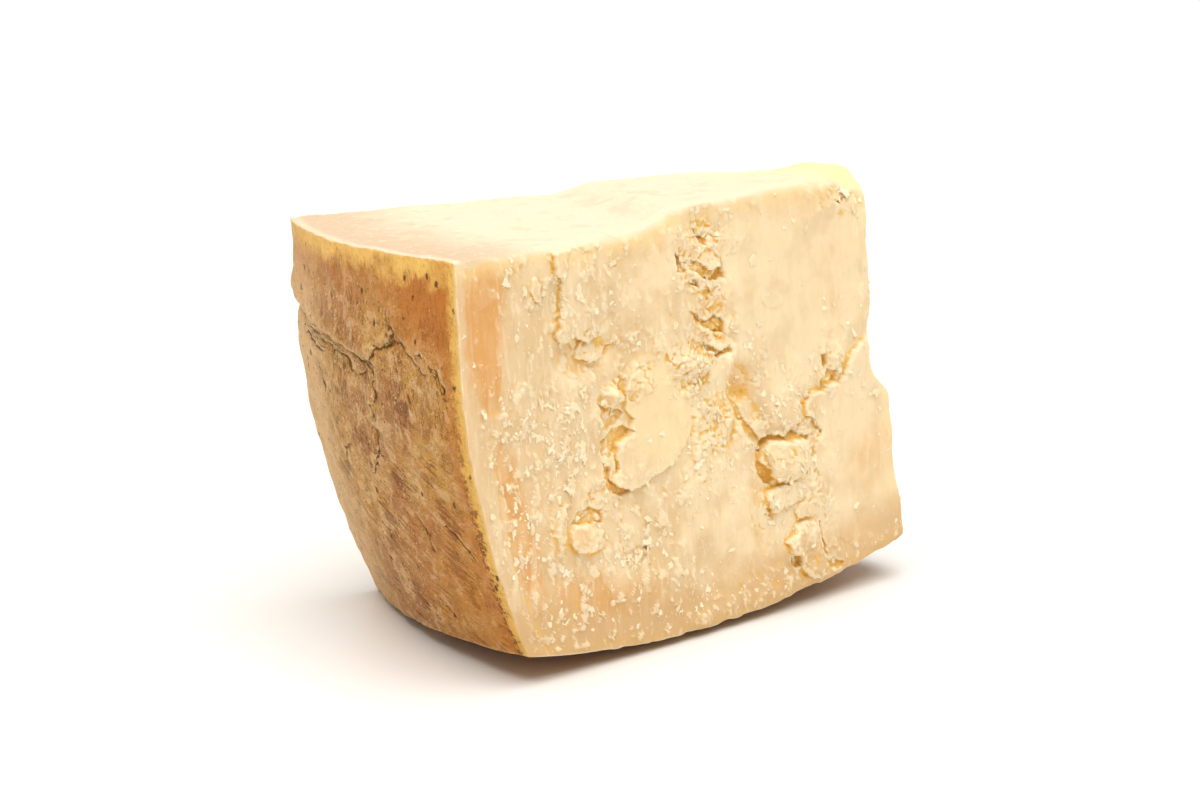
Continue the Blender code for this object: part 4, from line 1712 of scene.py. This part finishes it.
def scatter(name, make_one, lay_one, weigh, count, seed, material):
    """Strew copies of one small shape over the body, as one piece."""
    draw = random.Random(seed)
    heap, each = copies(make_one, count)
    places = surface_samples(bpy.data.objects["cheese_body"].data, draw, count, weigh)
    for verts, (place, normal) in zip(each, places):
        lay_one(verts, place, normal, draw)
    bmesh.ops.recalc_face_normals(heap, faces=heap.faces)
    keep_inside(heap)
    finish_piece(name, heap, (material,))


# Stage ------------------------------------------------------------------------------------------

CAMERA_AZIMUTH = math.radians(-43.577)
CAMERA_DROP = math.radians(14.5)
CAMERA_DISTANCE = 1.183
CAMERA_TARGET = Vector((0.0052, -0.0065, 0.0589))
CAMERA_LENS = 120.0
CAMERA_SENSOR = 36.0
CAMERA_REACH = 40.0
FLOOR_SIZE = 9.0
FLOOR_ROUGHNESS = 0.32


def build_camera():
    """Look at the chunk from in front, over its near bottom corner."""
    forward = Vector(
        (
            -math.sin(CAMERA_AZIMUTH) * math.cos(CAMERA_DROP),
            math.cos(CAMERA_AZIMUTH) * math.cos(CAMERA_DROP),
            -math.sin(CAMERA_DROP),
        )
    )
    data = bpy.data.cameras.new("camera")
    data.lens = CAMERA_LENS
    data.sensor_width = CAMERA_SENSOR
    data.clip_end = CAMERA_REACH
    camera = bpy.data.objects.new("camera", data)
    camera.location = CAMERA_TARGET - forward * CAMERA_DISTANCE
    camera.rotation_euler = forward.to_track_quat("-Z", "Y").to_euler()
    bpy.context.scene.collection.objects.link(camera)
    bpy.context.scene.camera = camera


def build_floor():
    """A plain pale table top."""
    look = bpy.context.scene.stage_look
    sheet = bmesh.new()
    bmesh.ops.create_grid(sheet, x_segments=1, y_segments=1, size=FLOOR_SIZE / 2.0)
    mesh = bpy.data.meshes.new("floor")
    sheet.to_mesh(mesh)
    sheet.free()
    floor = bpy.data.objects.new("floor", mesh)
    bpy.context.scene.collection.objects.link(floor)
    graph = Graph("floor_white")
    graph.surface(Base_Color=tuple(look.floor), Roughness=FLOOR_ROUGHNESS)
    mesh.materials.append(graph.material)


def build_lights():
    """An even warm white surrounding, and one broad soft light from above, a little in front."""
    look = bpy.context.scene.stage_look
    world = bpy.data.worlds.new("studio")
    world.use_nodes = True
    background = world.node_tree.nodes["Background"]
    background.inputs["Color"].default_value = (*look.surround_tint, 1.0)
    background.inputs["Strength"].default_value = look.surround
    bpy.context.scene.world = world
    data = bpy.data.lights.new("key", "SUN")
    data.energy = look.key
    data.angle = look.key_softness
    data.color = look.key_tint
    key = bpy.data.objects.new("key", data)
    key.rotation_euler = Vector(look.key_direction).to_track_quat("Z", "Y").to_euler()
    bpy.context.scene.collection.objects.link(key)


# Add-on -----------------------------------------------------------------------------------------


def colour_property(name, description, default):
    return FloatVectorProperty(
        name=name, description=description, default=default, size=3, subtype="COLOR", min=0, max=1
    )


def glow_property(share):
    return FloatProperty(
        name="Glow", description="Share of light that seeps through", default=share, min=0, max=1
    )


def glow_depth_property():
    return FloatProperty(
        name="Glow depth",
        description="How far light seeps through",
        default=2.0 * MM,
        unit="LENGTH",
        precision=4,
    )


class PasteLook(PropertyGroup):
    paste: colour_property("Paste", "Colour of the broken paste", (0.843, 0.677, 0.424))
    deep: colour_property("Deep paste", "Colour of the paste's darker clouds", (0.715, 0.515, 0.28))
    # The split top's colour is painted paler than the paste, standing in for the strong light
    # falling on it.
    top: colour_property("Split top", "Colour of the split top", (0.68, 0.6, 0.43))
    rose: colour_property("Rose", "The split top by the rind", (0.585, 0.425, 0.275))
    pale: colour_property("Pale paste", "Colour of dry edges and scabs", (0.858, 0.72, 0.487))
    fleck: colour_property("Fleck", "Colour of the whitest flecks", (0.9, 0.8, 0.59))
    butter: colour_property("Butter", "The yellowest paste", (0.85, 0.685, 0.395))
    orange: colour_property("Orange", "The most orange paste", (0.7, 0.33, 0.08))
    # Both colours of the hollows are painted shade, laid where the paste is sunk.
    hollow: colour_property("Hollow", "Colour in the hollows", (0.82, 0.49, 0.1))
    deep_hollow_shade: colour_property("Deep hollow", "Colour deep in the hollows", (0.71, 0.37, 0.05))
    skin: colour_property("Skin", "Dry paste by the rind", (0.756, 0.546, 0.336))
    # Gold is mostly a painted glow under the top edge; it also tints the top at the tip.
    gold: colour_property("Gold", "The paste under the top edge", (0.86, 0.64, 0.31))
    near_face: colour_property("Near the face", "Paste by the wheel's face", (0.622, 0.386, 0.168))
    face_band: colour_property("Face band", "Rim by the wheel's face", (0.672, 0.437, 0.185))
    glow: glow_property(0.6)
    glow_depth: glow_depth_property()


class RindLook(PropertyGroup):
    tan: colour_property("Tan", "The rind's ground colour", (0.56, 0.28, 0.075))
    gold: colour_property("Gold", "Its golden clouds", (0.61, 0.31, 0.055))
    plum: colour_property("Plum", "Its plum brown clouds", (0.435, 0.17, 0.066))
    shade: colour_property("Shade", "Its brown smudges", (0.31, 0.125, 0.02))
    crust: colour_property("Crust", "Its dry whitish specks", (0.86, 0.66, 0.38))
    bloom: colour_property("Bloom", "Its dusty pale bloom", (0.81, 0.525, 0.25))
    dark: colour_property("Dark", "Scratches and creases", (0.17, 0.052, 0.012))
    olive: colour_property("Olive", "Floor of the creases", (0.5, 0.29, 0.07))
    pit: colour_property("Pit", "Small pits", (0.1, 0.034, 0.01))
    orange: colour_property("Orange", "Towards the top edge", (0.56, 0.185, 0.025))
    # The top edge's colour is a painted glow.
    amber_glow: colour_property("Amber", "The top edge", (0.98, 0.6, 0.15))
    strip: colour_property("Strip", "The strip on the front edge", (0.92, 0.56, 0.13))
    strip_edge: colour_property("Strip edge", "Its pale outer line", (0.85, 0.66, 0.32))
    glow: glow_property(0.08)
    glow_depth: glow_depth_property()


class LooseLook(PropertyGroup):
    chips: IntProperty(name="Chips", description="Number of thin chips", default=3200, min=0)
    crumbs: IntProperty(name="Crumbs", description="Number of rocky crumbs", default=520, min=0)
    seed: IntProperty(name="Seed", description="Which scatter is drawn", default=7, min=0)


class StageLook(PropertyGroup):
    floor: colour_property("Floor", "Colour of the table", (0.84, 0.83, 0.81))
    surround: FloatProperty(
        name="Surround", description="Brightness of the white room", default=0.49, min=0
    )
    surround_tint: colour_property("Surround tint", "Colour of the room", (1.0, 0.94, 0.86))
    key_tint: colour_property("Key tint", "Colour of the soft light", (1.0, 0.995, 0.985))
    key: FloatProperty(name="Key", description="Strength of the soft light", default=3.9, min=0)
    key_softness: FloatProperty(
        name="Key softness",
        description="Width of the soft light as seen from the chunk",
        default=math.radians(70),
        subtype="ANGLE",
    )
    key_direction: FloatVectorProperty(
        name="Key direction",
        description="Where the soft light comes from",
        default=(-0.1, -0.17, 1.0),
        subtype="DIRECTION",
    )


class CHEESE_OT_body(Operator):
    """Build the chunk's broken sides and rind"""

    bl_idname = "cheese.body"
    bl_label = "Chunk"

    def execute(self, context):
        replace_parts(build_body(), NODE)
        return {"FINISHED"}


class CHEESE_OT_chips(Operator):
    """Scatter thin pale chips over the broken sides"""

    bl_idname = "cheese.chips"
    bl_label = "Chips"

    def execute(self, context):
        look = context.scene.loose_look
        material = loose_material("parmesan_chips", CHIP_FLECKS)
        kinds = (one_chip, lay_chip, chip_weight)
        scatter("cheese_chips", *kinds, look.chips, look.seed, material)
        return {"FINISHED"}


class CHEESE_OT_crumbs(Operator):
    """Gather rocky crumbs in the crumbled hollows"""

    bl_idname = "cheese.crumbs"
    bl_label = "Crumbs"

    def execute(self, context):
        look = context.scene.loose_look
        material = loose_material("parmesan_crumbs", CRUMB_FLECKS)
        kinds = (one_crumb, lay_crumb, crumb_weight)
        scatter("cheese_crumbs", *kinds, look.crumbs, look.seed + 1, material)
        return {"FINISHED"}


class CHEESE_OT_stage(Operator):
    """Set up the pale floor, the soft light and the camera"""

    bl_idname = "cheese.stage"
    bl_label = "Stage"

    def execute(self, context):
        build_camera()
        build_floor()
        build_lights()
        context.scene.view_settings.view_transform = "Standard"
        return {"FINISHED"}


OPERATORS = (CHEESE_OT_body, CHEESE_OT_chips, CHEESE_OT_crumbs, CHEESE_OT_stage)


class CHEESE_PT_panel(Panel):
    """Lists the chunk's pieces and its settings"""

    bl_idname = "CHEESE_PT_panel"
    bl_label = "Parmesan chunk"
    bl_space_type = "VIEW_3D"
    bl_region_type = "UI"
    bl_category = "Cheese"

    def draw(self, context):
        for operator in OPERATORS:
            self.layout.operator(operator.bl_idname)
        for name in LOOKS:
            look = getattr(context.scene, name)
            box = self.layout.box()
            for key in look.__annotations__:
                box.prop(look, key)


LOOKS = {
    "paste_look": PasteLook,
    "rind_look": RindLook,
    "loose_look": LooseLook,
    "stage_look": StageLook,
}
CLASSES = (*LOOKS.values(), *OPERATORS, CHEESE_PT_panel)


def register():
    for item in CLASSES:
        bpy.utils.register_class(item)
    for name, look in LOOKS.items():
        setattr(bpy.types.Scene, name, PointerProperty(type=look))


def unregister():
    for name in LOOKS:
        delattr(bpy.types.Scene, name)
    for item in reversed(CLASSES):
        bpy.utils.unregister_class(item)


def main():
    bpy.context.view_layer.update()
    register()
    bpy.ops.cheese.body()
    bpy.ops.cheese.chips()
    bpy.ops.cheese.crumbs()
    bpy.ops.cheese.stage()


if __name__ == "__main__":
    main()
